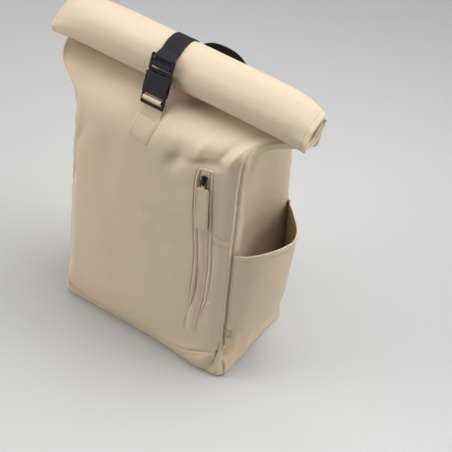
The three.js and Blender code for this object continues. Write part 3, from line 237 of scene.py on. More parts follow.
# Smaller folds that only the cloth shows, in the same terms
FOLDS = [
    dict(wall=0, across=0.735, up=0.902, turn=24, long=0.13, wide=0.03, deep=0.014),
    dict(wall=0, across=0.88, up=0.632, turn=-7, long=0.3, wide=0.045, deep=0.022),
    dict(wall=0, across=0.88, up=0.615, turn=-7, long=0.3, wide=0.05, deep=-0.017),
    dict(wall=0, across=0.763, up=0.9, turn=30, long=0.16, wide=0.055, deep=0.02),
    dict(wall=0, across=0.73, up=0.935, turn=70, long=0.24, wide=0.075, deep=-0.018),
    dict(wall=0, across=0.55, up=0.94, turn=75, long=0.24, wide=0.07, deep=-0.02),
    dict(wall=0, across=0.83, up=0.955, turn=80, long=0.22, wide=0.08, deep=0.03),
    dict(wall=0, across=0.89, up=0.955, turn=70, long=0.2, wide=0.07, deep=-0.03),
    dict(wall=0, across=0.075, up=0.61, turn=80, long=0.3, wide=0.09, deep=0.03),
    dict(wall=0, across=0.04, up=0.5, turn=86, long=0.3, wide=0.05, deep=-0.012),
    dict(wall=0, across=0.807, up=0.34, turn=25, long=0.16, wide=0.04, deep=0.02),
    dict(wall=0, across=0.79, up=0.255, turn=4, long=0.13, wide=0.05, deep=0.016),
    dict(wall=0, across=0.886, up=0.08, turn=59, long=0.4, wide=0.067, deep=0.04),
    dict(wall=0, across=0.84, up=0.085, turn=50, long=0.3, wide=0.05, deep=-0.014),
    dict(wall=1, across=0.24, up=0.085, turn=-20, long=0.5, wide=0.16, deep=0.075),
    dict(wall=1, across=0.47, up=0.06, turn=52, long=0.36, wide=0.07, deep=-0.035),
    dict(wall=1, across=0.06, up=0.06, turn=80, long=0.3, wide=0.08, deep=-0.02),
    dict(wall=1, across=0.16, up=0.8, turn=80, long=0.34, wide=0.07, deep=0.016),
    dict(wall=2, across=0.5, up=0.16, turn=5, long=0.7, wide=0.08, deep=0.012),
    dict(wall=2, across=0.3, up=0.62, turn=12, long=0.4, wide=0.07, deep=0.01),
    dict(wall=2, across=0.7, up=0.5, turn=-10, long=0.4, wide=0.07, deep=0.01),
    dict(wall=3, across=0.3, up=0.66, turn=60, long=0.3, wide=0.07, deep=0.015),
]

# Seam of the base along the front. across: share from the left corner; height: share of the band's height
BAND = {
    "across": [0.0, 0.05, 0.12, 0.25, 0.38, 0.5, 0.64, 0.77, 0.88, 1.0],
    "height": [1.0, 0.82, 0.5, 0.3, 0.22, 0.19, 0.34, 0.63, 0.9, 1.0],
}

# Line of the zip. up: share of its length from its lower end; aside: share of the slot's width to the right
ZIP_LINE = {
    "up": [0.0, 0.12, 0.27, 0.45, 0.62, 0.82, 1.0],
    "aside": [0.0, 0.27, 0.58, 0.64, 0.42, 0.09, 0.0],
}

# Roll. station: share of half the length; full: share of the way from the end's size to the middle's
ROLL_STATIONS = {"station": [0.0, 0.45, 0.72, 0.86, 0.94, 1.0], "full": [1.0, 0.98, 0.9, 0.68, 0.36, 0.0]}
# angle: degrees from the rear, over the top, to the front and under; layer: how many layers lie outside it
ROLL_TURNS = {"angle": [0, 200, 290, 345, 560, 705, 860], "layer": [0.0, 0.0, 0.45, 1.0, 1.15, 2.0, 2.25]}
ROLL_START, ROLL_END = 8, 850

# Bottle pocket. bulge: share of the pocket's bulge
# lift, dip: how far the lower edge rises and the hem hangs down, as the same share
POCKET_RISE = {"up": [0.0, 0.034, 0.1, 0.35, 0.7, 1.0], "bulge": [0.12, 0.54, 0.68, 0.84, 0.95, 1.0]}
POCKET_TURN = {
    "round": [0.0, 0.07, 0.15, 0.3, 0.42, 0.5, 0.6, 0.72, 0.85, 1.0],
    "bulge": [0.0, 0.27, 0.5, 0.82, 0.98, 1.0, 0.86, 0.5, 0.17, 0.0],
    "lift": [0.0, 0.04, 0.12, 0.22, 0.26, 0.27, 0.26, 0.24, 0.2, 0.15],
    "dip": [0.2, 0.11, 0.04, 0.0, 0.05, 0.11, 0.14, 0.15, 0.15, 0.15],
}
POCKET_FRONT, POCKET_BACK = 0.008, 0.035

# Shoulder pads. up: share of the pad's height; away: share of its distance from the back
# splay: share of the way to where its foot sits; wide, thick: shares of the pad's width and thickness
PAD_RUN = {
    "run": [0, 1, 2, 3, 4, 5, 6, 7, 8, 9, 10, 11],
    "up": [0.0, 0.055, 0.105, 0.12, 0.085, 0.0, -0.14, -0.36, -0.6, -0.82, -0.95, -1.0],
    "away": [0.045, 0.07, 0.22, 0.46, 0.7, 0.88, 0.99, 1.0, 0.9, 0.71, 0.56, 0.5],
    "splay": [0, 0, 0, 0, 0, 0.02, 0.1, 0.25, 0.48, 0.75, 0.93, 1.0],
    "wide": [0.78, 0.84, 0.9, 0.96, 1.0, 1.0, 1.0, 0.98, 0.9, 0.74, 0.58, 0.54],
    "thick": [0.34, 0.6, 0.9, 1.0, 1.0, 1.0, 1.0, 1.0, 1.0, 0.9, 0.6, 0.44],
}


def curve(places, values, at):
    """Smooth curve through the points of a short table."""
    places, values = np.asarray(places, float), np.asarray(values, float)
    at = np.asarray(at, float)
    last = len(places) - 1
    i = np.clip(np.searchsorted(places, at, side="left") - 1, 0, last - 1)
    span, rise = places[i + 1] - places[i], values[i + 1] - values[i]
    t = np.clip((at - places[i]) / span, 0, 1)
    before, after = np.maximum(i - 1, 0), np.minimum(i + 2, last)
    limit = 3 * np.abs(rise)
    enter = np.clip((values[i + 1] - values[before]) / (places[i + 1] - places[before]) * span, -limit, limit)
    leave = np.clip((values[after] - values[i]) / (places[after] - places[i]) * span, -limit, limit)
    t2, t3 = t * t, t * t * t
    return (
        (2 * t3 - 3 * t2 + 1) * values[i] + (t3 - 2 * t2 + t) * enter
        + (3 * t2 - 2 * t3) * values[i + 1] + (t3 - t2) * leave
    )


def ease(low, high, at):
    t = np.clip((at - low) / (high - low), 0, 1)
    return t * t * (3 - 2 * t)


def dent(away, width):
    """Share of a groove or ridge at a distance from its middle line, 1 on the line."""
    return np.exp(-(away / width) ** 2)


def mix(a, b, t):
    return a + (b - a) * t


def unit(v):
    return v / np.maximum(np.linalg.norm(v, axis=-1, keepdims=True), 1e-12)


def ripple(seed, points, scale, waves=9):
    """Smooth unevenness between about -1 and 1, the same on every run."""
    rng = np.random.default_rng(seed)
    total = 0
    for _ in range(waves):
        way = rng.normal(size=3) / scale
        total = total + np.sin(points @ way + rng.uniform(0, 2 * math.pi))
    return total / math.sqrt(waves)


def height_at(level, side):
    size = settings("body")
    middle = (size.shoulder_left + size.shoulder_right) / 2
    shoulder = mix(size.shoulder_left, size.shoulder_right, (side + 1) / 2)
    low = level * middle + (shoulder - middle) * ease(0.3, 1, level)
    first = PLAN["level"].index(1.0)
    rise = curve(PLAN["level"][first:], PLAN["rise"][first:], level)
    return np.where(level <= 1, low, shoulder + rise * (size.neck_height - shoulder))


def level_at(height, side):
    low, high = np.zeros(np.shape(height)), np.full(np.shape(height), UP_MOST)
    for _ in range(40):
        middle = (low + high) / 2
        below = height_at(middle, side) < height
        low, high = np.where(below, middle, low), np.where(below, high, middle)
    return (low + high) / 2


def outline(u, plan):
    """Point of the plan's outline. u counts the walls from the front's left: front, right, back, left."""
    size = settings("body")
    half_w, half_d = size.width / 2, size.depth / 2
    wall = np.floor(u).astype(int) % 4
    t = (u - np.floor(u))[..., None]
    left_front = -half_w * (plan["front_wide"] + plan["left_flare"])
    left_back = -half_w * (plan["back_wide"] + plan["left_flare"])
    xs = np.stack([left_front, half_w * plan["front_wide"], half_w * plan["back_wide"], left_back])
    ys = np.stack([-half_d * plan["front"]] * 2 + [half_d * plan["back"]] * 2)
    corners = np.stack([xs, ys], -1)

    def pick(k):
        return np.take_along_axis(corners, ((wall + k) % 4)[None, ..., None], 0)[0]

    before, start, end, after = pick(3), pick(0), pick(1), pick(2)
    shortest = np.minimum(half_d * (plan["front"] + plan["back"]), half_w)
    cut = np.minimum(size.corner_cut * plan["corner"], 0.42 * shortest)[..., None]

    def step(a, b):
        return unit(b - a) * cut

    def bend(corner, ahead, behind, s):
        return mix(mix(corner + behind, corner, s), mix(corner, corner + ahead, s), s)

    first = bend(start, step(start, end), step(start, before), 0.5 + 0.5 * t / CORNER)
    last = bend(end, step(end, after), step(end, start), 0.5 * (t - 1 + CORNER) / CORNER)
    along = (t - CORNER) / (1 - 2 * CORNER)
    straight = mix(start + step(start, end), end + step(end, start), along)
    return np.where(t < CORNER, first, np.where(t > 1 - CORNER, last, straight))


def pressed(table, wall, t, z, edge=6):
    """How deep a table's folds press the walls in. They end at the seams, the sooner the smaller edge is."""
    size = settings("body")
    deep = np.zeros(np.shape(z))
    for fold in table:
        wide = size.depth if fold["wall"] % 2 else size.width
        dx = (t - fold["across"]) * wide
        dz = z - fold["up"] * size.neck_height
        c, s = math.cos(math.radians(fold["turn"])), math.sin(math.radians(fold["turn"]))
        run = (dx * c + dz * s) / (fold["long"] * size.depth * 0.5)
        off = (dz * c - dx * s) / (fold["wide"] * size.depth * 0.5)
        here = fold["deep"] * size.depth * np.exp(-run * run - off * off)
        deep = deep + np.where(wall == fold["wall"], here, 0)
    return deep * np.minimum(1, edge * np.minimum(t, 1 - t))


def skin(u, level):
    """Point of the bag's outer face."""
    u, level = np.broadcast_arrays(np.asarray(u, float), np.asarray(level, float))
    size = settings("body")
    plan = {name: curve(PLAN["level"], PLAN[name], level) for name in PLAN if name not in ("level", "rise")}
    extra = plan["flare"] * (NECK * settings("roll").length / size.width - 1)
    plan["front_wide"], plan["back_wide"] = plan["front_wide"] + extra, plan["back_wide"] + extra
    p = outline(u, plan)
    wall, t = np.floor(u).astype(int) % 4, u - np.floor(u)
    side = np.clip(p[..., 0] / (size.width / 2), -1, 1)
    z = height_at(level, side)
    deep = pressed(CREASES, wall, t, z)
    x, y = p[..., 0], p[..., 1]
    swell = size.belly * plan["swell"] * (1 - np.abs(2 * t - 1) ** 2.6)
    hollow = size.hollow * plan["hollow"] * np.sin(math.pi * t) ** 2
    y = y + np.where(wall == 0, deep - swell, 0) - np.where(wall == 2, deep, 0)
    x = x - np.where(wall == 1, deep + hollow, 0) + np.where(wall == 3, deep, 0)
    drop = np.where(wall % 2 == 1, size.depth * plan["sag"] * 4 * t * (1 - t), 0)
    return np.stack([x, y, z - drop], -1)


def skin_out(u, level):
    """Direction away from the bag at a point of its outer face."""
    u, level = np.broadcast_arrays(np.asarray(u, float), np.asarray(level, float))
    step = 0.004
    here = skin(u, level)
    across = unit(unit(here - skin(u - step, level)) + unit(skin(u + step, level) - here))
    up = unit(skin(u, np.minimum(level + step, UP_MOST)) - skin(u, np.maximum(level - step, 0)))
    return unit(np.cross(across, up))


def under(u, level, deep):
    """Point at a depth under the bag's outer face, or in front of it where the depth is negative."""
    return skin(u, level) - skin_out(u, level) * np.asarray(deep, float)[..., None]


def front_place(x):
    """Width count on the front wall at a distance to the right of the middle."""
    size = settings("body")
    straight = size.width / 2 - size.corner_cut
    return CORNER + ((x + straight) / (2 * straight)) * (1 - 2 * CORNER)


def rim_at(height):
    """Distance of the seam round the slot from its edge, which is less at the slot's ends."""
    return mix(0.0026, 0.0048, ease(0.115, 0.165, height) * (1 - 0.6 * ease(0.352, 0.362, height)))


class Slot:
    """Places of the zip's slot in the front wall."""

    def __init__(self):
        size, zipper = settings("body"), settings("zip")
        self.side = zipper.across / (size.width / 2)
        self.shoulder = (size.shoulder_left + size.shoulder_right) / 2
        self.span = (1 - 2 * CORNER) / (2 * (size.width / 2 - size.corner_cut))
        self.middle = front_place(zipper.across)
        self.half = zipper.slot / 2 * self.span
        self.left, self.right = self.middle - self.half, self.middle + self.half
        self.low = float(level_at(zipper.bottom, self.side))
        self.high = float(level_at(zipper.top, self.side))
        self.tape_low = self.low - zipper.margin / self.shoulder
        self.tape_high = self.high + zipper.margin / self.shoulder
        self.tape = zipper.margin * self.span

    def beside(self, u, level):
        """The front's places moved aside so that they follow the zip's line."""
        up = (level - self.low) / (self.high - self.low)
        aside = settings("zip").slot * curve(ZIP_LINE["up"], ZIP_LINE["aside"], up)
        near = ease(0.5, self.left - self.tape, u) * (1 - ease(self.right + self.tape, 1 - CORNER, u))
        return np.where(u < 1, u + near * aside * self.span, u)


def band_at(u):
    band = settings("body").base_band
    return np.where(u <= 1, band * curve(BAND["across"], BAND["height"], np.clip(u, 0, 1)), band)


# Mesh making


def steps(start, end, size, stops=()):
    """Places from start to end about one size apart, passing through the stops."""
    marks = [start, *sorted(s for s in stops if start < s < end), end]
    out = [start]
    for a, b in zip(marks, marks[1:]):
        count = max(1, round((b - a) / size))
        out.extend(a + (b - a) * k / count for k in range(1, count + 1))
    return np.array(out)


def run_lengths(points, axis):
    """Distance along the rows or columns of a grid of points, or along a line of them."""
    gaps = np.linalg.norm(np.diff(points, axis=axis), axis=-1)
    zero = np.zeros_like(np.take(gaps, [0], axis))
    return np.concatenate([zero, np.cumsum(gaps, axis)], axis)


def grid_out(points, around=False):
    """Directions away from a grid of points, whose columns run to the right and rows run up."""
    if around:
        across = np.roll(points, -1, 1) - np.roll(points, 1, 1)
    else:
        across = np.gradient(points, axis=1)
    return unit(np.cross(across, np.gradient(points, axis=0)))


def cloth_uv(points, around=False):
    """Lengths along the cloth, across from its middle column and up from its first row."""
    ring = np.concatenate([points, points[:, :1]], 1) if around else points
    across, up = run_lengths(ring, 1), run_lengths(ring, 0)
    across = across - across[:, across.shape[1] // 2][:, None]
    return np.stack([across, up], -1)


def new_object(name, verts, faces, finish, uvs=None, loops=None):
    """A piece at the origin, its place in its mesh. uvs holds one place on the cloth for each corner."""
    mesh = bpy.data.meshes.new(name)
    mesh.from_pydata([tuple(v) for v in verts], [], [tuple(f) for f in faces])
    piece = bpy.data.objects.new(name, mesh)
    bpy.context.scene.collection.objects.link(piece)
    if uvs is not None:
        layer = mesh.uv_layers.new(name="cloth")
        layer.data.foreach_set("uv", np.asarray(uvs, np.float32).reshape(-1))
    mesh.shade_smooth()
    mesh.materials.append(finish)
    mesh.update()
    return piece


def cloth_piece(name, outer, inner, finish, keep=None, around=False, uv=None, bulge=0.9, lining=None):
    """A cloth of two faces over a grid of points, with rounded edges.

    keep marks the cells that are left when a slot is cut out. around joins the last column to the first.
    """
    rows, cols = outer.shape[:2]
    wide = cols if around else cols - 1
    uv = cloth_uv(outer, around) if uv is None else uv
    keep = np.ones((rows - 1, wide), bool) if keep is None else keep
    j, i = np.nonzero(keep)
    right = (i + 1) % cols
    quads = np.stack([j * cols + i, j * cols + right, (j + 1) * cols + right, (j + 1) * cols + i], 1)
    quad_uv = np.stack([uv[j, i], uv[j, i + 1], uv[j + 1, i + 1], uv[j + 1, i]], 1)
    count = rows * cols
    verts = np.concatenate([outer.reshape(-1, 3), inner.reshape(-1, 3)])
    faces = [tuple(q) for q in quads] + [tuple(q[::-1] + count) for q in quads]
    uvs = [quad_uv.reshape(-1, 2), quad_uv[:, ::-1].reshape(-1, 2)]
    slots = [0] * len(quads) + [1 if lining else 0] * len(quads)
    edges, away, where_uv = {}, {}, {}
    middles = verts[quads].mean(1)
    for k, quad in enumerate(quads):
        for a, b, place in zip(quad, np.roll(quad, -1), quad_uv[k]):
            edges[(a, b)] = k
            where_uv[a] = place
    rim = [(a, b, k) for (a, b), k in edges.items() if (b, a) not in edges]
    for a, b, k in rim:
        for v in (a, b):
            away[v] = away.get(v, 0) + (verts[v] - middles[k])
    extra, at = [], {}
    for v, way in away.items():
        thick = verts[v] - verts[v + count]
        depth = np.linalg.norm(thick)
        way = way - thick * (way @ thick) / max(depth * depth, 1e-12)
        at[v] = len(verts) + len(extra)
        extra.append((verts[v] + verts[v + count]) / 2 + unit(way) * depth / 2 * bulge)
    for a, b, k in rim:
        faces += [(b, a, at[a], at[b]), (at[b], at[a], a + count, b + count)]
        pair = [where_uv[b], where_uv[a], where_uv[a], where_uv[b]]
        uvs.append(np.array(pair + pair))
        slots += [0, 0]
    verts = np.concatenate([verts, np.array(extra).reshape(-1, 3)])
    piece = new_object(name, verts, faces, finish, np.concatenate(uvs))
    if lining:
        piece.data.materials.append(lining)
        piece.data.polygons.foreach_set("material_index", slots)
    tidy_mesh(piece)
    return piece


def tidy_mesh(piece, turn_out=False):
    """Closes poles and drops points that no face uses. turn_out also makes every face point outwards."""
    mesh = bmesh.new()
    mesh.from_mesh(piece.data)
    bmesh.ops.remove_doubles(mesh, verts=mesh.verts, dist=1e-6)
    loose = [v for v in mesh.verts if not v.link_faces]
    bmesh.ops.delete(mesh, geom=loose, context="VERTS")
    if turn_out:
        bmesh.ops.recalc_face_normals(mesh, faces=mesh.faces)
    mesh.to_mesh(piece.data)
    mesh.free()
    piece.data.update()


def band_section(width, thick, count):
    """Outline of a flat band with rounded edges, counted round from its outer face."""
    half, r = width / 2, thick / 2
    flat = np.linspace(-half + r, half - r, count)
    turn = np.radians([30, 60, 90, 120, 150])
    right = [(half - r + r * math.sin(a), r * math.cos(a)) for a in turn]
    left = [(-x, -y) for x, y in right]
    return np.array([(x, r) for x in flat] + right + [(x, -r) for x in flat[::-1]] + left)


def smooth_path(points, size):
    """Points about one size apart on a smooth curve through the given points."""
    points = np.asarray(points, float)
    gaps = np.sqrt(np.maximum(np.linalg.norm(np.diff(points, axis=0), axis=1), 1e-9))
    places = np.concatenate([[0], np.cumsum(gaps)])
    fine = []
    for i in range(len(points) - 1):
        a, b = points[i], points[i + 1]
        span = places[i + 1] - places[i]
        before = points[i - 1] if i else a
        after = points[i + 2] if i + 2 < len(points) else b
        enter = (b - before) / (places[i + 1] - places[max(i - 1, 0)]) * span
        leave = (after - a) / (places[min(i + 2, len(points) - 1)] - places[i]) * span
        count = max(2, math.ceil(np.linalg.norm(b - a) / size * 2))
        t = (np.arange(count) / count)[:, None]
        fine.append(
            (2 * t**3 - 3 * t**2 + 1) * a + (t**3 - 2 * t**2 + t) * enter
            + (3 * t**2 - 2 * t**3) * b + (t**3 - t**2) * leave
        )
    fine = np.concatenate(fine + [points[-1:]])
    run = run_lengths(fine, 0)
    even = np.linspace(0, run[-1], max(3, round(run[-1] / size)))
    return np.stack([np.interp(even, run, fine[:, k]) for k in range(3)], 1), even / run[-1]


def band_frames(path, across):
    """Directions across and away from the bag for each point of a band's path."""
    along = unit(np.gradient(path, axis=0))
    across = np.broadcast_to(across, path.shape)
    away = unit(np.cross(across, along))
    return unit(np.cross(along, away)), away


def band_piece(name, path, across, width, thick, finish, size=0.0016, count=9):
    """A strap of webbing or cloth along a path. width is a number, or values spread evenly along the path."""
    path, shares = smooth_path(path, size)
    widths = np.atleast_1d(width)
    widths = np.interp(shares, np.linspace(0, 1, len(widths)), widths)
    return band_along(name, path, across, widths, thick, finish, count)


def band_along(name, path, across, widths, thick, finish, count):
    """The strap itself, with the points of its path, its directions across and its directions outwards."""
    wide, away = band_frames(path, across)
    rings = []
    for k in range(len(path)):
        section = band_section(widths[k], thick, count)
        rings.append(path[k] + section[:, :1] * wide[k] + section[:, 1:] * away[k])
    return tube_piece(name, np.array(rings), finish), path, wide, away


def tube_piece(name, rings, finish):
    """A closed solid over rings of points, with a flat cap at each end."""
    rows, cols = rings.shape[:2]
    uv = cloth_uv(rings, True)
    j, i = np.meshgrid(np.arange(rows - 1), np.arange(cols), indexing="ij")
    j, i = j.ravel(), i.ravel()
    right = (i + 1) % cols
    quads = np.stack([j * cols + i, (j + 1) * cols + i, (j + 1) * cols + right, j * cols + right], 1)
    quad_uv = np.stack([uv[j, i], uv[j + 1, i], uv[j + 1, i + 1], uv[j, i + 1]], 1)
    faces = [tuple(q) for q in quads]
    uvs = [quad_uv.reshape(-1, 2)]
    for row, order in ((0, 1), (rows - 1, -1)):
        ends = [row * cols + k for k in range(cols)][::order]
        faces.append(tuple(ends))
        uvs.append(np.array([uv[row, k] for k in range(cols)][::order]))
    piece = new_object(name, rings.reshape(-1, 3), faces, finish, np.concatenate(uvs))
    tidy_mesh(piece, turn_out=True)
    return piece


def stitch_row(path, out):
    """Places of the stitches along a path of points: middles, directions along and directions outwards."""
    sizes = settings("stitch")
    path, out = np.asarray(path, float), np.asarray(out, float)
    run = run_lengths(path, 0)
    count = max(1, int(run[-1] / sizes.pitch))
    at = (np.arange(count) + 0.5) * run[-1] / count

    def sample(values, places):
        return np.stack([np.interp(places, run, values[:, k]) for k in range(3)], 1)

    along = unit(sample(path, at + 1e-3) - sample(path, at - 1e-3))
    return sample(path, at), along, unit(sample(out, at))


def stitches(name, rows, finish, body="bag", slot="canvas"):
    """All the stitches of one seam as one piece. Each is a short thread whose ends dip into the cloth."""
    sizes = settings("stitch")
    shares = np.array([-0.5, -0.38, 0.0, 0.38, 0.5])
    swell = np.array([0.35, 0.9, 1.0, 0.9, 0.35])
    sink = np.array([-0.55, 0.0, 0.3, 0.0, -0.55])
    sides, last = 6, len(shares) - 1
    angles = np.arange(sides) * 2 * math.pi / sides
    verts, faces = [], []
    for middle, along, away in rows:
        across = unit(np.cross(along, away))
        for m, a, n, c in zip(middle, along, away, across):
            base = len(verts)
            slant = a + 0.12 * c
            for s, w, d in zip(shares, swell, sink):
                heart = m + slant * s * sizes.stitch + n * d * sizes.thread
                for angle in angles:
                    spread = c * math.cos(angle) + n * math.sin(angle)
                    verts.append(heart + spread * w * sizes.thread / 2)
            for ring in range(base, base + last * sides, sides):
                for k in range(sides):
                    p, q = ring + k, ring + (k + 1) % sides
                    faces.append((p, q, q + sides, p + sides))
            faces.append(tuple(base + k for k in reversed(range(sides))))
            faces.append(tuple(base + last * sides + k for k in range(sides)))
    piece = new_object(name, verts, faces, finish)
    tidy_mesh(piece, turn_out=True)
    settle(piece, slot, body=body)


def settle(piece, slot, *nodes, body="bag"):
    """Puts a finished piece in the place of its solids."""
    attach(piece, body)
    if nodes:
        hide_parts(*nodes)


# Finishes


def node(tree, kind, sockets=None, **choices):
    """Adds a shader node. sockets maps an input to a value or to the output that feeds it."""
    made = tree.nodes.new("ShaderNode" + kind)
    for key, value in choices.items():
        setattr(made, key, value)
    for key, value in (sockets or {}).items():
        if isinstance(value, bpy.types.NodeSocket):
            tree.links.new(value, made.inputs[key])
        else:
            made.inputs[key].default_value = value
    return made


def sum_node(tree, operation, a, b=0.0):
    return node(tree, "Math", {0: a, 1: b}, operation=operation).outputs[0]


def weave_height(tree, across, up):
    """Height of a plain weave with those distances between its threads: 0 in the gaps, 1 on the threads."""
    cloth = node(tree, "UVMap", uv_map="cloth").outputs["UV"]
    split = node(tree, "SeparateXYZ", {0: cloth})
    a = sum_node(tree, "SINE", sum_node(tree, "MULTIPLY", split.outputs[0], math.pi / across))
    b = sum_node(tree, "SINE", sum_node(tree, "MULTIPLY", split.outputs[1], math.pi / up))
    both = sum_node(tree, "MULTIPLY", a, b)
    warp = sum_node(tree, "ADD", sum_node(tree, "ABSOLUTE", a), both)
    weft = sum_node(tree, "SUBTRACT", sum_node(tree, "ABSOLUTE", b), both)
    return sum_node(tree, "MULTIPLY", sum_node(tree, "MAXIMUM", warp, weft), 0.5)


def noise(tree, scale, detail=3.0, rough=0.5):
    place = node(tree, "TexCoord").outputs["Object"]
    sockets = {"Vector": place, "Scale": scale, "Detail": detail, "Roughness": rough}
    return node(tree, "TexNoise", sockets).outputs["Fac"]


def spread_node(tree, value, low, high, to_low, to_high):
    """The value, stretched so that low becomes to_low and high becomes to_high."""
    sockets = {"Value": value, "From Min": low, "From Max": high, "To Min": to_low, "To Max": to_high}
    return node(tree, "MapRange", sockets).outputs[0]


def shade(tree, base, factor, amount, low=0.3, high=0.7):
    """The colour, darker by up to the amount where the factor is low and lighter where it is high."""
    spread = spread_node(tree, factor, low, high, 1 - amount, 1 + amount * 0.6)
    tint = node(tree, "CombineColor", {0: spread, 1: spread, 2: spread}).outputs[0]
    return node(tree, "Mix", {0: 1.0, 6: base, 7: tint}, data_type="RGBA", blend_type="MULTIPLY").outputs[2]


class Finish:
    """A material by its name, made the first time that a piece asks for it."""

    def __init__(self, name):
        self.made = bpy.data.materials.get(name)
        self.new = self.made is None
        if self.new:
            self.made = bpy.data.materials.new(name)
            self.made.use_nodes = True
        self.tree = self.made.node_tree
        self.shader = self.tree.nodes["Principled BSDF"]

    def colour(self, tone):
        self.tree.links.new(tone, self.shader.inputs["Base Color"])

    def roughness(self, value):
        self.tree.links.new(value, self.shader.inputs["Roughness"])

    def relief(self, height, strength, distance):
        bump = node(self.tree, "Bump", {"Height": height, "Strength": strength, "Distance": distance})
        self.tree.links.new(bump.outputs[0], self.shader.inputs["Normal"])

    def set(self, **sockets):
        """Sets numbers that are the same all over the surface."""
        for name, value in sockets.items():
            self.shader.inputs[name.replace("_", " ")].default_value = value


def cloth_finish(name, base, across, up, relief, rough=0.62, sheen=0.12, patches=0.05, flecks=0.05, worn=0.0,
                 gloss=0.4):
    """Woven cloth: threads, patches of shade, flecks along the threads, painted shade in the gaps between the
    threads and paler worn edges.
    """
    finish = Finish(name)
    if not finish.new:
        return finish.made
    tree, base = finish.tree, (*base, 1.0)
    height = weave_height(tree, across, up)
    fine = noise(tree, 420.0, 2.0)
    tone = shade(tree, base, noise(tree, 9.0, 4.0, 0.55), patches)
    tone = shade(tree, tone, fine, flecks)
    # Painted shade: the colour is darker in the gaps between the threads, where the weave's hollows lie in
    # shade.
    tone = shade(tree, tone, height, 0.05, 0.0, 1.0)
    if worn:
        edge = node(tree, "Attribute", attribute_name="worn").outputs["Fac"]
        patchy = sum_node(tree, "MULTIPLY", edge, noise(tree, 60.0, 3.0))
        pale = tuple(min(1.0, c * 1.35 + 0.05) for c in base[:3]) + (1.0,)
        amount = sum_node(tree, "MULTIPLY", patchy, worn * 2)
        tone = node(tree, "Mix", {0: amount, 6: tone, 7: pale}, data_type="RGBA").outputs[2]
    finish.colour(tone)
    finish.roughness(spread_node(tree, noise(tree, 45.0), 0.3, 0.7, rough - 0.05, rough + 0.05))
    finish.set(Specular_IOR_Level=gloss, Sheen_Weight=sheen, Sheen_Roughness=0.45)
    finish.relief(sum_node(tree, "ADD", height, sum_node(tree, "MULTIPLY", fine, 0.7)), 0.6, relief)
    return finish.made


def canvas_finish():
    look = settings("finish")
    return cloth_finish("canvas", look.canvas, look.thread_pitch, look.thread_pitch, 0.00009, worn=look.wear)


def lining_finish():
    look = settings("finish")
    return cloth_finish("lining", look.lining, look.thread_pitch, look.thread_pitch, 0.0001, 0.8, 0.05)


def webbing_finish():
    base = settings("finish").webbing
    return cloth_finish("webbing", base, 0.0016, 0.0011, 0.00035, 0.5, 0.25, 0.2, 0.25, gloss=0.55)


def tape_finish():
    # The tape and coil get a colour a little lighter than the canvas: painted light against the shade in the
    # slot.
    return cloth_finish("zip tape", settings("finish").tape, 0.0009, 0.0006, 0.00016, 0.75, 0.1)


def label_finish():
    return cloth_finish("label", settings("finish").label, 0.0004, 0.0004, 0.0001, 0.7, 0.1)


def smooth_finish(name, base, patches, amount, mottled=None, grain=None, **sockets):
    """A finish with no weave. patches, amount: size and strength of its shades.

    mottled: noise and range of its roughness; grain: scale, detail, strength and height of its relief.
    """
    finish = Finish(name)
    if not finish.new:
        return finish.made
    finish.colour(shade(finish.tree, (*base, 1.0), noise(finish.tree, patches), amount))
    finish.set(**sockets)
    if mottled:
        *grit, low, high = mottled
        finish.roughness(spread_node(finish.tree, noise(finish.tree, *grit), 0.35, 0.65, low, high))
    if grain:
        scale, detail, strength, height = grain
        finish.relief(noise(finish.tree, scale, detail), strength, height)
    return finish.made


def thread_finish():
    finish = Finish("thread")
    if finish.new:
        tree = finish.tree
        finish.colour(shade(tree, (*settings("finish").thread, 1.0), noise(tree, 900.0), 0.12))
        finish.set(Roughness=0.55, Sheen_Weight=0.2)
        place = node(tree, "TexCoord").outputs["Object"]
        twist = node(tree, "TexWave", {"Vector": place, "Scale": 700.0, "Distortion": 1.0})
        finish.relief(twist.outputs["Fac"], 0.4, 0.0001)
    return finish.made


def black_thread_finish():
    look = settings("finish").black_thread
    return smooth_finish("black thread", look, 900.0, 0.2, Roughness=0.5)


def plastic_finish():
    """Black moulded plastic with a fine spark-eroded grain and faint handling marks."""
    look = settings("finish").plastic
    return smooth_finish(
        "plastic", look, 60.0, 0.25, (140.0, 5.0, 0.6, 0.36, 0.5), (2600.0, 2.0, 0.25, 0.00008),
        Specular_IOR_Level=0.14,
    )


def metal_finish():
    """Dark plated metal, brighter where it is rubbed."""
    look = settings("finish").metal
    return smooth_finish(
        "zip metal", look, 300.0, 0.3, (500.0, 0.2, 0.34), (900.0, 3.0, 0.15, 0.00005), Metallic=1.0,
    )


def floor_finish():
    look = settings("finish").floor
    return smooth_finish("floor", look, 3.0, 0.01, Roughness=0.7, Specular_IOR_Level=0.2)


# Walls and base


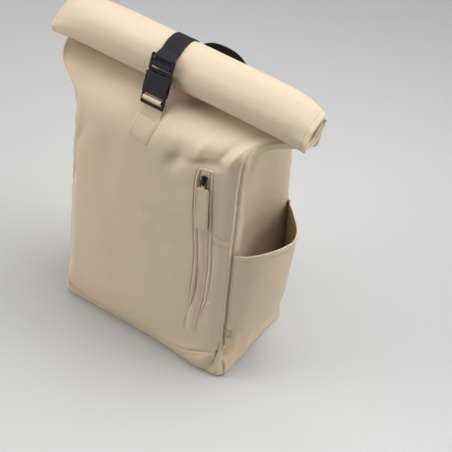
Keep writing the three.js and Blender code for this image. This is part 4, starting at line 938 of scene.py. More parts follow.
class Cloth:
    """A grid of points on a wall's outer face, with its directions outwards."""

    def __init__(self, us, vs, points):
        self.us, self.vs, self.points = us, vs, points
        self.out = grid_out(points)

    def sample(self, u, v):
        """Point and direction at places on the grid, which may be arrays."""
        u, v = np.broadcast_arrays(np.asarray(u, float), np.asarray(v, float))
        i = np.clip(np.searchsorted(self.us, u, side="right") - 1, 0, len(self.us) - 2)
        j = np.clip(np.searchsorted(self.vs, v, side="right") - 1, 0, len(self.vs) - 2)
        s = ((u - self.us[i]) / (self.us[i + 1] - self.us[i]))[..., None]
        t = ((v - self.vs[j]) / (self.vs[j + 1] - self.vs[j]))[..., None]
        found = []
        for grid in (self.points, self.out):
            low, high = mix(grid[j, i], grid[j, i + 1], s), mix(grid[j + 1, i], grid[j + 1, i + 1], s)
            found.append(mix(low, high, t))
        return found[0], unit(found[1])

    def place_at(self, x, z):
        """Places on the grid that lie at the given distances across and heights."""
        x, z = np.broadcast_arrays(np.asarray(x, float), np.asarray(z, float))
        shape, x, z = x.shape, x.ravel(), z.ravel()
        grid = self.points
        near = [np.argmin((grid[..., 0] - a) ** 2 + (grid[..., 2] - b) ** 2) for a, b in zip(x, z)]
        j, i = np.unravel_index(near, grid.shape[:2])
        u, v = self.us[i].astype(float), self.vs[j].astype(float)
        for _ in range(6):
            p, _way = self.sample(u, v)
            pu, _way = self.sample(u + 1e-3, v)
            pv, _way = self.sample(u, v + 1e-3)
            a, b = (pu - p)[:, 0] / 1e-3, (pv - p)[:, 0] / 1e-3
            c, d = (pu - p)[:, 2] / 1e-3, (pv - p)[:, 2] / 1e-3
            dx, dz, det = x - p[:, 0], z - p[:, 2], a * d - b * c
            u = np.clip(u + (d * dx - b * dz) / det, self.us[0], self.us[-1])
            v = np.clip(v + (a * dz - c * dx) / det, self.vs[0], self.vs[-1])
        return u.reshape(shape), v.reshape(shape)

    def column(self, distance, from_right=False):
        """Points and directions of a line up the wall at a distance from one of its seams."""
        run = run_lengths(self.points, 1)
        path, out = [], []
        for j in range(len(self.vs)):
            at = run[j, -1] - distance if from_right else distance
            u = np.interp(at, run[j], self.us)
            p, n = self.sample(u, self.vs[j])
            path.append(p)
            out.append(n)
        return np.array(path), np.array(out)

    def row(self, distance):
        """The same for a line across the wall at a distance above its lower edge."""
        run = run_lengths(self.points, 0)
        v = np.array([np.interp(distance, run[:, i], self.vs) for i in range(len(self.us))])
        return self.sample(self.us, v)


CLOTHS = {}


def soften(points, level, reach):
    """Rounds the break at the shoulder by averaging each column of points over a reach."""
    run = run_lengths(points, 0)
    share = ease(0.93, 1.0, level) * (1 - ease(1.3, 1.6, level))
    smooth = points.copy()
    gaps = np.gradient(run, axis=0)
    for j in range(len(points)):
        if share[j].max() > 0:
            weight = dent(run - run[j], reach) * gaps
            smooth[j] = (points * weight[..., None]).sum(0) / weight.sum(0)[:, None]
    return mix(points, smooth, share[..., None])


def wall_grid(wall, low, slot):
    """Columns and rows of a wall's grid, which are closer together beside its seams and the zip's slot."""
    coarse, rim = 0.0028, 0.0072
    up = 1 / slot.shoulder
    corner = np.linspace(0, CORNER, 11)
    stops, columns, rows = [], [], []
    if wall == 0:
        margin = rim * slot.span
        stops = [slot.left, slot.right]
        columns = [
            np.linspace(slot.left - margin, slot.left, 13), np.linspace(slot.right, slot.right + margin, 13),
        ]
        rows = [
            np.linspace(slot.low - rim * up, slot.low, 11), np.linspace(slot.high, slot.high + rim * up, 11),
        ]
    pitch = coarse * slot.span if wall % 2 == 0 else coarse * (1 - 2 * CORNER) / 0.11
    us = np.unique(np.round(np.concatenate([
        steps(wall + CORNER, wall + 1 - CORNER, pitch, stops), wall + corner, wall + 1 - corner, *columns,
    ]), 7))
    if wall == 0:
        us = us[~((us > slot.left + 1e-6) & (us < slot.right - 1e-6))]
    seam = low + 0.012 * up
    vs = np.unique(np.round(np.concatenate([
        steps(low, seam, 0.0012 * up), steps(seam, 1.0, coarse * up, [slot.low]),
        steps(1.0, UP_MOST, 0.018, [slot.high]), *rows,
    ]), 7))
    return us, vs


def wall_cloth(wall):
    """The finished outer face of a wall: its shape from the plan, then folds, waves, seams and the slot."""
    if wall in CLOTHS:
        return CLOTHS[wall]
    size, slot = settings("body"), Slot()
    low = (size.base_band + size.seam_gap) / slot.shoulder
    us, vs = wall_grid(wall, low, slot)
    u, v = np.meshgrid(us, vs)
    stretch = np.maximum(0, (slot.tape_low - v) / (slot.tape_low - low))
    level = v - stretch * (size.base_band - band_at(u)) / slot.shoulder
    points = skin(slot.beside(u, level), level)
    points[-1, :, 2] = size.neck_height
    points[0, :, 2] = band_at(us) + size.seam_gap
    points = soften(points, v, 0.018)
    out = grid_out(points)
    across, up = run_lengths(points, 1), run_lengths(points, 0)
    seam = np.minimum(across, across[:, -1:] - across)
    calm = ease(0, 0.03, seam) * ease(0, 0.02, up) * (1 - ease(1.8, UP_MOST, v) * 0.6)
    lift = size.unevenness * calm * (ripple(3, points, 0.03) + 0.45 * ripple(4, points, 0.012))
    lift += 0.00055 * dent(seam - 0.004, 0.007) * ripple(5 + wall, points * [0.3, 0.3, 1], 0.0042)
    lift += 0.0005 * dent(up - 0.004, 0.006) * ripple(15 + wall, points * [1, 1, 0.3], 0.0042)
    lift -= size.seam_dip * (dent(seam, 0.002) + 0.8 * dent(up, 0.0022))
    lift += 0.0005 * dent(seam - 0.0045, 0.0022)
    lift -= pressed(FOLDS, wall, np.clip(u - wall, 0, 1), points[..., 2], 16)
    if wall == 0:
        beside = np.maximum(slot.left - u, u - slot.right) / slot.span
        above = np.maximum(slot.low - level, level - slot.high) * slot.shoulder
        away = np.hypot(np.maximum(beside, 0), np.maximum(above, 0))
        curl = 0.0013
        lift -= np.where(away < curl, curl - np.sqrt(np.maximum(curl**2 - (curl - away) ** 2, 0)), 0)
        lift += 0.0007 * dent(away - 0.0026, 0.0015)
        lift -= 0.0012 * dent(away - rim_at(points[..., 2]), 0.001)
        lift += 0.0004 * dent(away, 0.01) * ripple(31, points * [0.2, 0.2, 1], 0.006)
    CLOTHS[wall] = Cloth(us, vs, points + out * lift[..., None])
    return CLOTHS[wall]


def make_wall(wall, name, node_name):
    size, slot = settings("body"), Slot()
    cloth = wall_cloth(wall)
    keep = None
    if wall == 0:
        u = (cloth.us[:-1] + cloth.us[1:]) / 2
        v = (cloth.vs[:-1] + cloth.vs[1:]) / 2
        inside = (u > slot.left) & (u < slot.right)
        keep = ~(inside[None, :] & ((v > slot.low) & (v < slot.high))[:, None])
    inner = cloth.points - cloth.out * size.cloth
    piece = cloth_piece(name, cloth.points, inner, canvas_finish(), keep, lining=lining_finish())
    mark_edges(piece, np.concatenate([cloth.points[:, 0], cloth.points[:, -1]]))
    settle(piece, "canvas", node_name)


def mark_edges(piece, line, reach=0.0035):
    """Stores how worn each point is, from its distance to the nearest point of a rubbed edge."""
    tree = KDTree(len(line))
    for k, p in enumerate(line):
        tree.insert(p, k)
    tree.balance()
    away = np.array([tree.find(v.co)[2] for v in piece.data.vertices])
    layer = piece.data.attributes.new("worn", "FLOAT", "POINT")
    layer.data.foreach_set("value", dent(away, reach).astype(np.float32))


class BACKPACK_OT_walls(bpy.types.Operator):
    """Makes the four canvas walls, with their seams, folds and topstitching"""

    bl_idname = "backpack.walls"
    bl_label = "Walls"

    def execute(self, context):
        for wall, (name, solid) in enumerate((
            ("front_cloth", "front_panel"), ("right_cloth", "side_panel_right"),
            ("back_cloth", "back_panel"), ("left_cloth", "side_panel_left"),
        )):
            make_wall(wall, name, solid)
        edge = settings("stitch").edge
        rows = []
        for wall in (0, 2):
            for from_right in (False, True):
                path, out = wall_cloth(wall).column(edge, from_right)
                stop = int(len(path) * 0.93)
                rows.append(stitch_row(path[3:stop], out[3:stop]))
        for wall in range(4):
            path, out = wall_cloth(wall).row(settings("stitch").hem)
            rows.append(stitch_row(path[3:-3], out[3:-3]))
        stitches("wall_stitches", rows, thread_finish())
        return {"FINISHED"}


class BACKPACK_OT_base(bpy.types.Operator):
    """Makes the base: a shallow canvas tray that meets the walls at the band seam"""

    bl_idname = "backpack.base"
    bl_label = "Base"

    def execute(self, context):
        size, slot = settings("body"), Slot()
        corner = np.linspace(0, CORNER, 9)
        us = np.concatenate([
            wall + np.concatenate([corner, steps(CORNER, 1 - CORNER, pitch)[1:], 1 - corner[::-1][1:-1]])
            for wall, pitch in enumerate((0.012, 0.024, 0.012, 0.024))
        ])

        def ring(rise, inset, height=None):
            tall = size.base_edge + rise * (band_at(us) - size.base_edge)
            p = skin(us, tall / slot.shoulder)
            p[:, 0] *= 1 - inset / (size.width / 2)
            p[:, 1] *= 1 - inset / (size.depth / 2)
            p[:, 2] = tall if height is None else height
            return p

        edge = size.base_edge
        sole = ring(0, edge * 0.9, 0.0)
        rows = [sole * [s, s, 1] for s in (0.0, 0.25, 0.5, 0.75, 0.9, 0.97)]
        turn = np.radians(np.linspace(0, 90, 7))
        rows += [ring(0, edge * 0.9 * (1 - math.sin(a)), edge * (1 - math.cos(a))) for a in turn]
        rows += [ring(rise, 0) for rise in [*np.linspace(0, 0.8, 14)[1:], *np.linspace(0.8, 1, 8)[1:]]]
        points = np.array(rows)
        out = grid_out(points, True)
        out[0] = [0, 0, -1]
        up = run_lengths(points, 0)
        left = up[-1:] - up
        wall, t = np.floor(us).astype(int) % 4, us - np.floor(us)
        seam = np.minimum(t, 1 - t) / CORNER * 0.013
        lift = -pressed(FOLDS, *np.broadcast_arrays(wall, t, left)[:2], points[..., 2], 16)
        free = ease(0.002, 0.012, points[..., 2])
        lift += 0.0006 * free * ease(0, 0.012, left) * ripple(3, points, 0.02)
        lift += 0.0005 * dent(left - 0.004, 0.006) * ripple(41, points * [1, 1, 0.3], 0.0042) * free
        lift -= size.seam_dip * (dent(left, 0.0022) + 0.7 * dent(seam, 0.0016) * free)
        points = points + out * lift[..., None]
        points[..., 2] = np.maximum(points[..., 2], 0.0)
        inner = points - grid_out(points, True) * size.cloth
        inner[0] = points[0] + [0, 0, size.cloth]
        piece = cloth_piece("base_cloth", points, inner, canvas_finish(), around=True, lining=lining_finish())
        mark_edges(piece, np.concatenate([points[-1], points[8]]), 0.004)
        settle(piece, "canvas", "base_panel")
        hem = settings("stitch").hem
        path = np.array([
            [np.interp(hem, left[::-1, i], points[::-1, i, k]) for k in range(3)] for i in range(len(us))
        ])
        way = out[-3]
        seam = stitch_row(np.concatenate([path, path[:1]]), np.concatenate([way, way[:1]]))
        stitches("base_stitches", [seam], thread_finish())
        return {"FINISHED"}


# Roll


def roll_size(station):
    size, body = settings("roll"), settings("body")
    full = curve(ROLL_STATIONS["station"], ROLL_STATIONS["full"], np.abs(station))
    tall, flat = mix(size.end_radius, size.radius, full), mix(size.end_flat, size.flat, full)
    lean = mix(size.end_lean, size.lean, full)
    reach = np.hypot(tall * np.sin(lean), flat * np.cos(lean))
    return tall, flat, lean, neck_middle() - size.forward, body.neck_height + reach + body.seam_gap


def neck_middle():
    half = settings("body").depth / 2
    return (half * PLAN["back"][-1] - half * PLAN["front"][-1]) / 2


def roll_line(station, at):
    """Middle line of the roll's wall. Up to the start it rises from the neck, and then angles follow."""
    size, body = settings("roll"), settings("body")
    station, at = np.broadcast_arrays(np.asarray(station, float), np.asarray(at, float))
    tall, flat, lean, y0, z0 = roll_size(station)
    c, s = np.cos(lean), np.sin(lean)

    def on_turn(angle):
        inset = size.wall / 2 + size.layer * curve(ROLL_TURNS["angle"], ROLL_TURNS["layer"], angle)
        phase = np.radians(angle) - lean
        a, b = (tall - inset) * np.cos(phase), (flat - inset) * np.sin(phase)
        return np.stack([y0 + a * c - b * s, z0 + a * s + b * c], -1)

    wound = on_turn(np.maximum(at, ROLL_START))
    foot = np.full((*at.shape, 2), (neck_middle(), body.neck_height + body.seam_gap))
    top = on_turn(np.full(at.shape, float(ROLL_START)))
    pull = top - (on_turn(np.full(at.shape, ROLL_START + 12.0)) - top) * 1.2
    rise = foot + [0.001, 0.004]
    t = (np.minimum(at, ROLL_START) / ROLL_START)[..., None]
    r = 1 - t
    tail = r**3 * foot + 3 * r * r * t * rise + 3 * r * t * t * pull + t**3 * top
    return np.where((at < ROLL_START)[..., None], tail, wound)


def roll_surface(stations, ats, side):
    """Grid of points on the roll's outer (side 1) or inner (side -1) face."""
    size = settings("roll")
    x, at = np.meshgrid(stations, ats)
    here, ahead = roll_line(x, at), roll_line(x, at + 1)
    along = unit(ahead - here)
    outwards = np.stack([along[..., 1], -along[..., 0]], -1)
    shrink = 1 - (1 - NECK) * (1 - ease(0, 70, at)) - 0.012 * ease(300, 800, at)
    place = here + outwards * size.wall / 2 * side
    across = x * shrink * size.length / 2
    angle = np.radians(at)
    free = ease(0, 25, at)
    spot = np.stack([across * 0.22, 0.03 * np.cos(angle), 0.03 * np.sin(angle)], -1)
    lift = 0.0007 * free * ripple(51, spot, 0.012) + 0.00025 * free * ripple(52, spot, 0.006)
    strap = settings("strap")
    squeeze = np.exp(-(((across - strap.across) / (strap.width * 0.55)) ** 4))
    lift -= 0.0012 * squeeze * free
    edge = (1 - np.abs(x)) * size.length / 2
    lift += 0.0009 * dent(edge, 0.02) * ripple(53, spot, 0.008) * free
    lift -= np.where(at < 330, 0.0005, 0.0) * side * dent(edge - 0.0055, 0.0011)
    place = place + outwards * lift[..., None]
    height = np.where(at <= 0, here[..., 1], place[..., 1])
    return np.stack([across, place[..., 0], height], -1)


class BACKPACK_OT_roll(bpy.types.Operator):
    """Winds the top of the bag into a flattened roll that leans forwards"""

    bl_idname = "backpack.roll"
    bl_label = "Rolled top"

    def execute(self, context):
        end = np.array([0, 0.004, 0.01, 0.018, 0.026, 0.034, 0.044])
        stations = np.concatenate([end - 1, steps(-0.94, 0.94, 0.016), 1 - end[::-1]])
        ats = np.concatenate([np.linspace(0, ROLL_START, 9), steps(ROLL_START, ROLL_END, 5.6)[1:]])
        outer, inner = roll_surface(stations, ats, 1), roll_surface(stations, ats, -1)
        outer, inner = outer[:, ::-1], inner[:, ::-1]
        piece = cloth_piece("rolled_cloth", outer, inner, canvas_finish())
        mark_edges(piece, np.concatenate([outer[:, 0], outer[:, -1]]), 0.003)
        settle(piece, "canvas", "roll_top")
        rows = []
        for way in (-1, 1):
            place = way * (1 - 0.0055 / (settings("roll").length / 2))
            grid = roll_surface(np.array([place - 0.01, place, place + 0.01]), steps(12, 215, 4), 1)
            rows.append(stitch_row(grid[:, 1], -grid_out(grid)[:, 1]))
        stitches("roll_stitches", rows, thread_finish())
        return {"FINISHED"}


# Zip


def front_point(u, level, deep):
    """Point behind the finished front cloth, following the zip's line."""
    slot = Slot()
    return under(slot.beside(u, level), level, deep)


def zip_grid(us, start, end, size):
    """Grid over the zip: places, levels, distances from its middle, and how far it sways in and out."""
    slot = Slot()
    u, v = np.meshgrid(us, steps(start, end, size / slot.shoulder))
    across = (u - slot.middle) / slot.span
    spot = np.stack([across * 0, across * 0, v], -1) * slot.shoulder
    return u, v, across, 0.0005 * ripple(61, spot, 0.012)


def zip_frame():
    """Place of the pull's hinge, with its axes across the zip, inwards and up the zip."""
    size, slot = settings("zip"), Slot()
    level = float(level_at(size.top - size.slider_drop, slot.side))
    base = front_point(slot.middle, level, -size.running_gap)
    out = skin_out(slot.beside(slot.middle, level), level)
    foot = float(level_at(size.top - size.slider_drop - size.link_reach - size.pull_length, slot.side))
    up = unit(base - front_point(slot.middle, foot, -size.running_gap))
    across = unit(np.cross(up, out))
    out = np.cross(across, up)
    away = size.slider_plate + size.running_gap + size.pin / 2
    return base + out * away, across, -out, up


def placed(piece, base, across, inwards, up):
    """Moves a piece made about the origin to its place on the bag, in its mesh."""
    turn = Matrix((across, inwards, up)).transposed().to_4x4()
    piece.data.transform(Matrix.Translation(Vector(base)) @ turn)
    piece.data.update()


class BACKPACK_OT_zip(bpy.types.Operator):
    """Makes the zip: tape, closed coil, slider, metal link and cloth pull tab"""

    bl_idname = "backpack.zip"
    bl_label = "Zip"

    def execute(self, context):
        size, body, slot = settings("zip"), settings("body"), Slot()
        us = np.unique(np.concatenate([
            steps(slot.left - slot.tape, slot.right + slot.tape, 0.0012 * slot.span),
            slot.middle + np.linspace(-0.004, 0.004, 17) * slot.span,
        ]))
        u, v, across, sway = zip_grid(us, slot.tape_low, slot.tape_high, 0.0024)
        ridge = 0.0006 * dent(np.abs(across) - 0.0045, 0.0012)
        raised = 0.0012 * (1 - ease(0.0066, 0.0078, np.abs(across)))
        deep = body.cloth + body.seam_gap + 0.0001 - np.maximum(ridge, raised) - sway
        outer, inner = front_point(u, v, deep), front_point(u, v, deep + size.tape)
        settle(cloth_piece("zip_tape_cloth", outer, inner, tape_finish()), "zip_tape", "zip_tape")

        half, end = size.coil / 2, 0.001 / slot.shoulder
        side = np.array([0.07, 0.2, 0.45, 0.7, 0.9, 1])
        us = slot.middle + np.concatenate([-side[::-1], [0], side]) * half * slot.span
        u, v, across, sway = zip_grid(us, slot.low + end, slot.high - end, 0.0004)
        hump = np.sqrt(np.maximum(1 - ((np.abs(across) / half - 0.5) / 0.52) ** 2, 0))
        turn = (v - slot.low) * slot.shoulder / 0.0016 * 2 * math.pi
        beat = np.cos(turn + np.where(across > 0, math.pi, 0))
        outer = front_point(u, v, body.cloth - 0.0006 - 0.0007 * hump * (1 + 0.08 * beat) - sway)
        inner = front_point(u, v, body.cloth + 0.0002 - sway)
        settle(cloth_piece("zip_coil", outer, inner, tape_finish()), "zip_tape", "zip_teeth")
        self.rim_stitches(slot)
        self.pull_tab()
        for name in ("zip_slider", "zip_pull_link"):
            refinish(name, metal_finish())
        return {"FINISHED"}

    def rim_stitches(self, slot):
        """A row of stitches all round the slot."""
        cloth = wall_cloth(0)
        foot, top = rim_at(0.0), rim_at(1.0)
        low, high = slot.low - foot / slot.shoulder, slot.high + top / slot.shoulder
        vs = np.linspace(low, high, 160)
        away = rim_at(height_at(vs, slot.side)) * slot.span
        rows = []
        for u, v in (
            (slot.left - away, vs), (slot.right + away, vs),
            (np.linspace(slot.left - top * slot.span, slot.right + top * slot.span, 20), high),
            (np.linspace(slot.left - foot * slot.span, slot.right + foot * slot.span, 20), low),
        ):
            p, n = cloth.sample(u, v)
            rows.append(stitch_row(p, n))
        stitches("zip_stitches", rows, thread_finish())

    def pull_tab(self):
        """A folded strip of canvas, sewn along its edges, that hangs from the link."""
        size = settings("zip")
        pin, across, inwards, up = zip_frame()
        narrow = size.link_width - 2 * size.link_bar - 2 * size.running_gap
        fold = size.link_bar / 2 + size.running_gap
        inset, face = 0.0019, -size.pull_thick / 2 * 0.88
        rise = np.concatenate([np.linspace(0.0018, -0.004, 14), -steps(0.004, size.pull_length, 0.0016)[1:]])
        rings = []
        for z in rise:
            wide = mix(narrow, size.pull_width, math.sqrt(1 - (1 - min(max(-z / 0.0065, 0), 1)) ** 2))
            foot = size.pull_length + z
            wide -= 0.0016 * (1 - ease(0, 0.0022, foot))
            round_top = math.sqrt(max(1 - (z / 0.0019) ** 2, 0.03)) if z > 0 else 1.0
            thick = (size.pull_thick + 1.2 * fold * dent(z, 0.006)) * round_top
            section = band_section(wide, thick, 15)
            sewn = np.abs(np.abs(section[:, 0]) - (wide / 2 - inset)) < 0.0006
            section[:, 1] *= np.where(sewn & (z < -0.004) & (foot > 0.001), 0.86, 1.0)
            section[:, 1] *= 1 - 0.16 * dent(foot - inset, 0.0005)
            level = np.full(len(section), z - size.link_reach)
            rings.append(np.stack([section[:, 0], -section[:, 1], level], 1))
        piece = tube_piece("pull_tab_cloth", np.array(rings), canvas_finish())
        placed(piece, pin, across, inwards, up)
        settle(piece, "canvas", "zip_pull_tab", body="zip_pull")
        side = size.pull_width / 2 - inset
        top, foot = -size.link_reach - 0.0045, -size.link_reach - size.pull_length + inset
        corners = ((-side, top), (-side, foot), (side, foot), (side, top), (-side, top))
        path = np.array([(x, face, z) for x, z in corners])
        turn = np.array([across, inwards, up])
        rows = []
        for a, b in zip(path, path[1:]):
            line = np.linspace(a, b, 12) @ turn + pin
            rows.append(stitch_row(line, np.broadcast_to(-inwards, line.shape)))
        stitches("pull_tab_stitches", rows, thread_finish(), "zip_pull")


def refinish(name, finish):
    """Gives a piece of the frame a better finish."""
    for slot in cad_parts[name].material_slots:
        slot.material = finish


# Bottle pocket


def pocket_point(t, up):
    """Point of the pocket's cloth. t: from the front seam to the back one; up: from the foot to the hem."""
    size, body = settings("pocket"), settings("body")
    t, up = np.broadcast_arrays(np.asarray(t, float), np.asarray(up, float))
    low = size.bottom + size.bulge * curve(POCKET_TURN["round"], POCKET_TURN["lift"], t)
    z = mix(low, size.hem - size.bulge * curve(POCKET_TURN["round"], POCKET_TURN["dip"], t), up)
    level = level_at(z, 1.0)
    away = body.cloth + body.seam_gap
    start = under(1 + POCKET_FRONT, level, 0.001 - away)
    end = under(2 - POCKET_BACK, level, 0.002 - away)
    bulge = (size.bulge + away) * curve(POCKET_RISE["up"], POCKET_RISE["bulge"], up)
    x = mix(start[..., 0], end[..., 0], t) + bulge * curve(POCKET_TURN["round"], POCKET_TURN["bulge"], t)
    y = mix(start[..., 1], end[..., 1], (1 - np.cos(math.pi * t)) / 2)
    return np.stack([x, y, z], -1)


class BACKPACK_OT_pocket(bpy.types.Operator):
    """Makes the open bottle pocket, its sewn hem and the plain label in its front seam"""

    bl_idname = "backpack.pocket"
    bl_label = "Bottle pocket"

    def execute(self, context):
        size, body = settings("pocket"), settings("body")
        end = np.linspace(0, 0.05, 9)
        ts = np.unique(np.concatenate([steps(0, 1, 0.0125), end, 1 - end]))
        tall = size.hem - size.bottom
        ups = np.unique(np.concatenate([
            steps(0, 1, 0.0024 / tall), np.linspace(0, 0.06, 12), 1 - np.linspace(0, 0.014, 15) / tall,
        ]))
        t, up = np.meshgrid(ts, ups)
        points = pocket_point(t, up)
        out = grid_out(points)
        across, high = run_lengths(points, 1), run_lengths(points, 0)
        seam = np.minimum(across, across[:, -1:] - across)
        hem = high[-1:] - high
        calm = ease(0, 0.025, seam) * ease(0, 0.02, high)
        lift = 0.0009 * calm * (ripple(71, points, 0.028) + 0.4 * ripple(72, points, 0.011))
        lift *= ease(-0.01, 0.02, hem)
        lift += 0.0005 * dent(seam - 0.004, 0.006) * ripple(73, points * [0.3, 0.3, 1], 0.004)
        gather = dent(high - 0.006, 0.011) * ease(0, 0.01, seam)
        lift += 0.0011 * gather * np.sin(across / 0.0125 * 2 * math.pi + 2 * ripple(74, points, 0.02))
        lift += 0.0009 * dent(seam - 0.006, 0.004) * ease(0, 0.01, high)
        lift -= 0.0006 * dent(seam, 0.0012) + 0.001 * dent(high, 0.0018)
        fold = size.hem_fold
        lift += 0.00075 * (1 - ease(fold - 0.0008, fold + 0.0008, hem)) * ease(0, 0.006, seam)
        lift -= 0.0004 * dent(hem - fold + 0.0014, 0.0006)
        lift += 0.0004 * dent(hem - fold / 2, 0.004) * ripple(75, points * [1, 1, 0.3], 0.006)
        points = points + out * lift[..., None]
        out = grid_out(points)
        inner = points - out * (body.cloth + 0.0006 * (1 - ease(fold - 0.001, fold, hem)))[..., None]
        piece = cloth_piece("pocket_cloth", points, inner, canvas_finish(), lining=lining_finish())
        mark_edges(piece, np.concatenate([points[-1], points[:, 0]]), 0.003)
        settle(piece, "canvas", "side_pocket")
        cloth = Cloth(ts, ups, points)
        line = [np.interp(fold - 0.0014, hem[::-1, i], ups[::-1]) for i in range(len(ts))]
        path, way = cloth.sample(ts, line)
        rows = [stitch_row(path[4:-4], way[4:-4])]
        path, way = cloth.row(0.0032)
        rows.append(stitch_row(path[5:-5], way[5:-5]))
        stitches("pocket_stitches", rows, thread_finish())
        self.label(cloth, tall)
        return {"FINISHED"}

    def label(self, cloth, tall):
        """A folded strip caught in the front seam, left bare."""
        size = settings("pocket")
        ts, ups = np.linspace(0.006, 1 / 16, 14), np.linspace(0.1, 0.1 + size.label / tall, 14)
        t, up = np.meshgrid(ts, ups)
        p, n = cloth.sample(t, up)
        rise = 0.0005 + 0.0007 * ease(0, 1, (t - ts[0]) / (ts[-1] - ts[0]))
        outer, inner = p + n * (rise + 0.0006)[..., None], p + n * (rise - 0.0002)[..., None]
        piece = cloth_piece("plain_label", outer, inner, label_finish())
        settle(piece, "zip_tape", "seam_label")
        rim, way = (np.concatenate([grid[1:-1, -2][::-1], grid[1, 1:-1][::-1]]) for grid in (outer, n))
        stitches("label_stitches", [stitch_row(rim, way)], black_thread_finish())


# Closing strap and buckle


X_AXIS = np.array([1.0, 0.0, 0.0])


class BarFrame:
    """Axes of a fitting whose bars carry straps: its origin, the way up along it and the way out."""

    def __init__(self, origin, up, out):
        size = settings("strap")
        self.origin, self.up, self.out = origin, up, out
        self.layer = size.bar + size.gap + size.thick / 2

    def at(self, up, away):
        return self.origin + self.up * up + self.out * away

    def points(self, *places):
        return [self.at(up, away) for up, away in places]

    def round_bar(self, middle, start, end, puff=1.0):
        """Points of a strap turning round a bar. puff: how far it stands out in front, 1 for a close turn."""
        way = math.copysign(1, end - start)
        turn = np.radians(steps(0, abs(end - start), 15) * way + start)
        stand = [self.layer * math.sin(a) * (puff if math.sin(a) > 0 else 1.0) for a in turn]
        return [self.at(middle + self.layer * math.cos(a), away) for a, away in zip(turn, stand)]


class BuckleFrame(BarFrame):
    """The buckle's axes, from its lower end, and the places of its bars along it."""

    def __init__(self):
        size = settings("strap")
        c, s = math.cos(size.buckle_lean), math.sin(size.buckle_lean)
        foot = np.array([size.across, -size.buckle_forward, size.buckle_foot])
        super().__init__(foot, np.array([0, s, c]), np.array([0, -c, s]))
        self.low_bar = size.bar
        self.loop_bar = self.low_bar + 2 * size.bar + size.opening
        self.strap_bar = size.socket_length + 0.004 + size.opening + size.bar
        self.end_bar = size.buckle_length - size.bar
        self.second = self.layer + size.thick + 2 * size.gap
        self.inside = size.buckle_width - 2 * size.rail - 2 * size.gap - 0.0004


def strap_on_wall(cloth, x, heights, away):
    """Points of a strap's middle line on a wall, from its heights."""
    u, v = cloth.place_at(np.full(len(heights), x), np.asarray(heights))
    p, n = cloth.sample(u, v)
    return p + n * away


class BACKPACK_OT_closure(bpy.types.Operator):
    """Makes the closing strap over the roll, the sewn patch with its loop, and the side-release buckle"""

    bl_idname = "backpack.closure"
    bl_label = "Closure"

    def execute(self, context):
        size, buckle = settings("strap"), BuckleFrame()
        self.patch(size, buckle)
        self.strap(size, buckle)
        for name in ("buckle_socket", "buckle_plug"):
            refinish(name, plastic_finish())
        return {"FINISHED"}

    def patch(self, size, b):
        """Canvas folded into a strip: sewn flat to the front, then round the socket's bar and back."""
        cloth = wall_cloth(0)
        rest = size.thick / 2 + 0.0005
        x = size.across - size.patch_aside * np.linspace(1, -0.1, 9)
        low = strap_on_wall(cloth, x, np.linspace(size.patch_bottom, size.patch_top, 9), rest)
        loop = [
            *b.points((b.low_bar, -b.layer), (b.low_bar + 0.0024, -b.layer + 0.0005)),
            *b.round_bar(b.loop_bar, 180, -90, puff=1.9),
            *b.points((b.loop_bar - 0.003, -b.second + 0.001), (b.low_bar + 0.0015, -b.second),
                      (b.low_bar - 0.0015, -b.second - 0.0001)),
        ]
        path = np.array([*low, *loop])
        widths = [*np.linspace(size.patch_width, size.patch_width + 0.002, 9), *[b.inside] * len(loop)]
        run = run_lengths(path, 0)
        widths = np.interp(np.linspace(0, run[-1], 60), run, widths)
        piece, line, wide, away = band_piece(
            "patch_cloth", path, X_AXIS, widths, 0.0017, canvas_finish(), 0.0012, 13,
        )
        settle(piece, "canvas", "buckle_tab")
        sewn = [k for k, p in enumerate(line) if size.patch_bottom + 0.0015 < p[2] < size.patch_top]
        side = size.patch_width / 2 - 0.0024
        rows = []
        for way in (-1, 1):
            path = np.array([line[k] + wide[k] * side * way + away[k] * 0.0009 for k in sewn])
            rows.append(stitch_row(path, away[sewn]))
        for k in (sewn[1], sewn[-1]):
            path = np.array([line[k] + wide[k] * s + away[k] * 0.0009 for s in np.linspace(-side, side, 12)])
            rows.append(stitch_row(path, np.broadcast_to(away[k], path.shape)))
        stitches("patch_stitches", rows, thread_finish())

    def strap(self, size, b):
        """Webbing from the plug's bar over the roll and down to the back."""
        fold = [
            *b.points((b.end_bar + 0.0015, -b.second), (b.end_bar - 0.0015, -b.second),
                      (b.strap_bar + 0.003, -b.second + 0.001)),
            *b.round_bar(b.strap_bar, -90, -360),
            *b.points((b.end_bar - 0.0024, -b.layer + 0.0005), (b.end_bar, -b.layer)),
        ]
        roll = settings("roll")
        tall, flat, lean, y0, z0 = roll_size(size.across / (roll.length / 2))
        away = size.gap + size.thick / 2 - 0.0006
        angle = np.radians(np.arange(124, 3, -6))
        phase = angle - lean
        a, c = (tall + away) * np.cos(phase), (flat + away) * np.sin(phase)
        y = y0 + a * math.cos(lean) - c * math.sin(lean)
        z = z0 + a * math.sin(lean) + c * math.cos(lean)
        over = np.stack([np.full(len(y), size.across), y, z], 1)
        cloth = wall_cloth(2)
        side = size.across / (settings("body").width / 2)
        *free, leaves = height_at(np.array([1.42, 1.3, 1.15]), side)
        clear = strap_on_wall(cloth, size.across, free, 2 * size.thick)
        down = strap_on_wall(cloth, size.across, np.linspace(leaves, size.sewn, 8), size.thick / 2 + 0.0004)
        path = np.array([*fold, *over, *clear, *down])
        piece, line, wide, out = band_piece(
            "closing_strap", path, X_AXIS, b.inside, size.thick, webbing_finish(), 0.0014,
        )
        settle(piece, "webbing", "closure_strap")
        box_stitch("strap_stitches", line[-22:-2], wide[-22:-2], out[-22:-2], b.inside, size.thick)


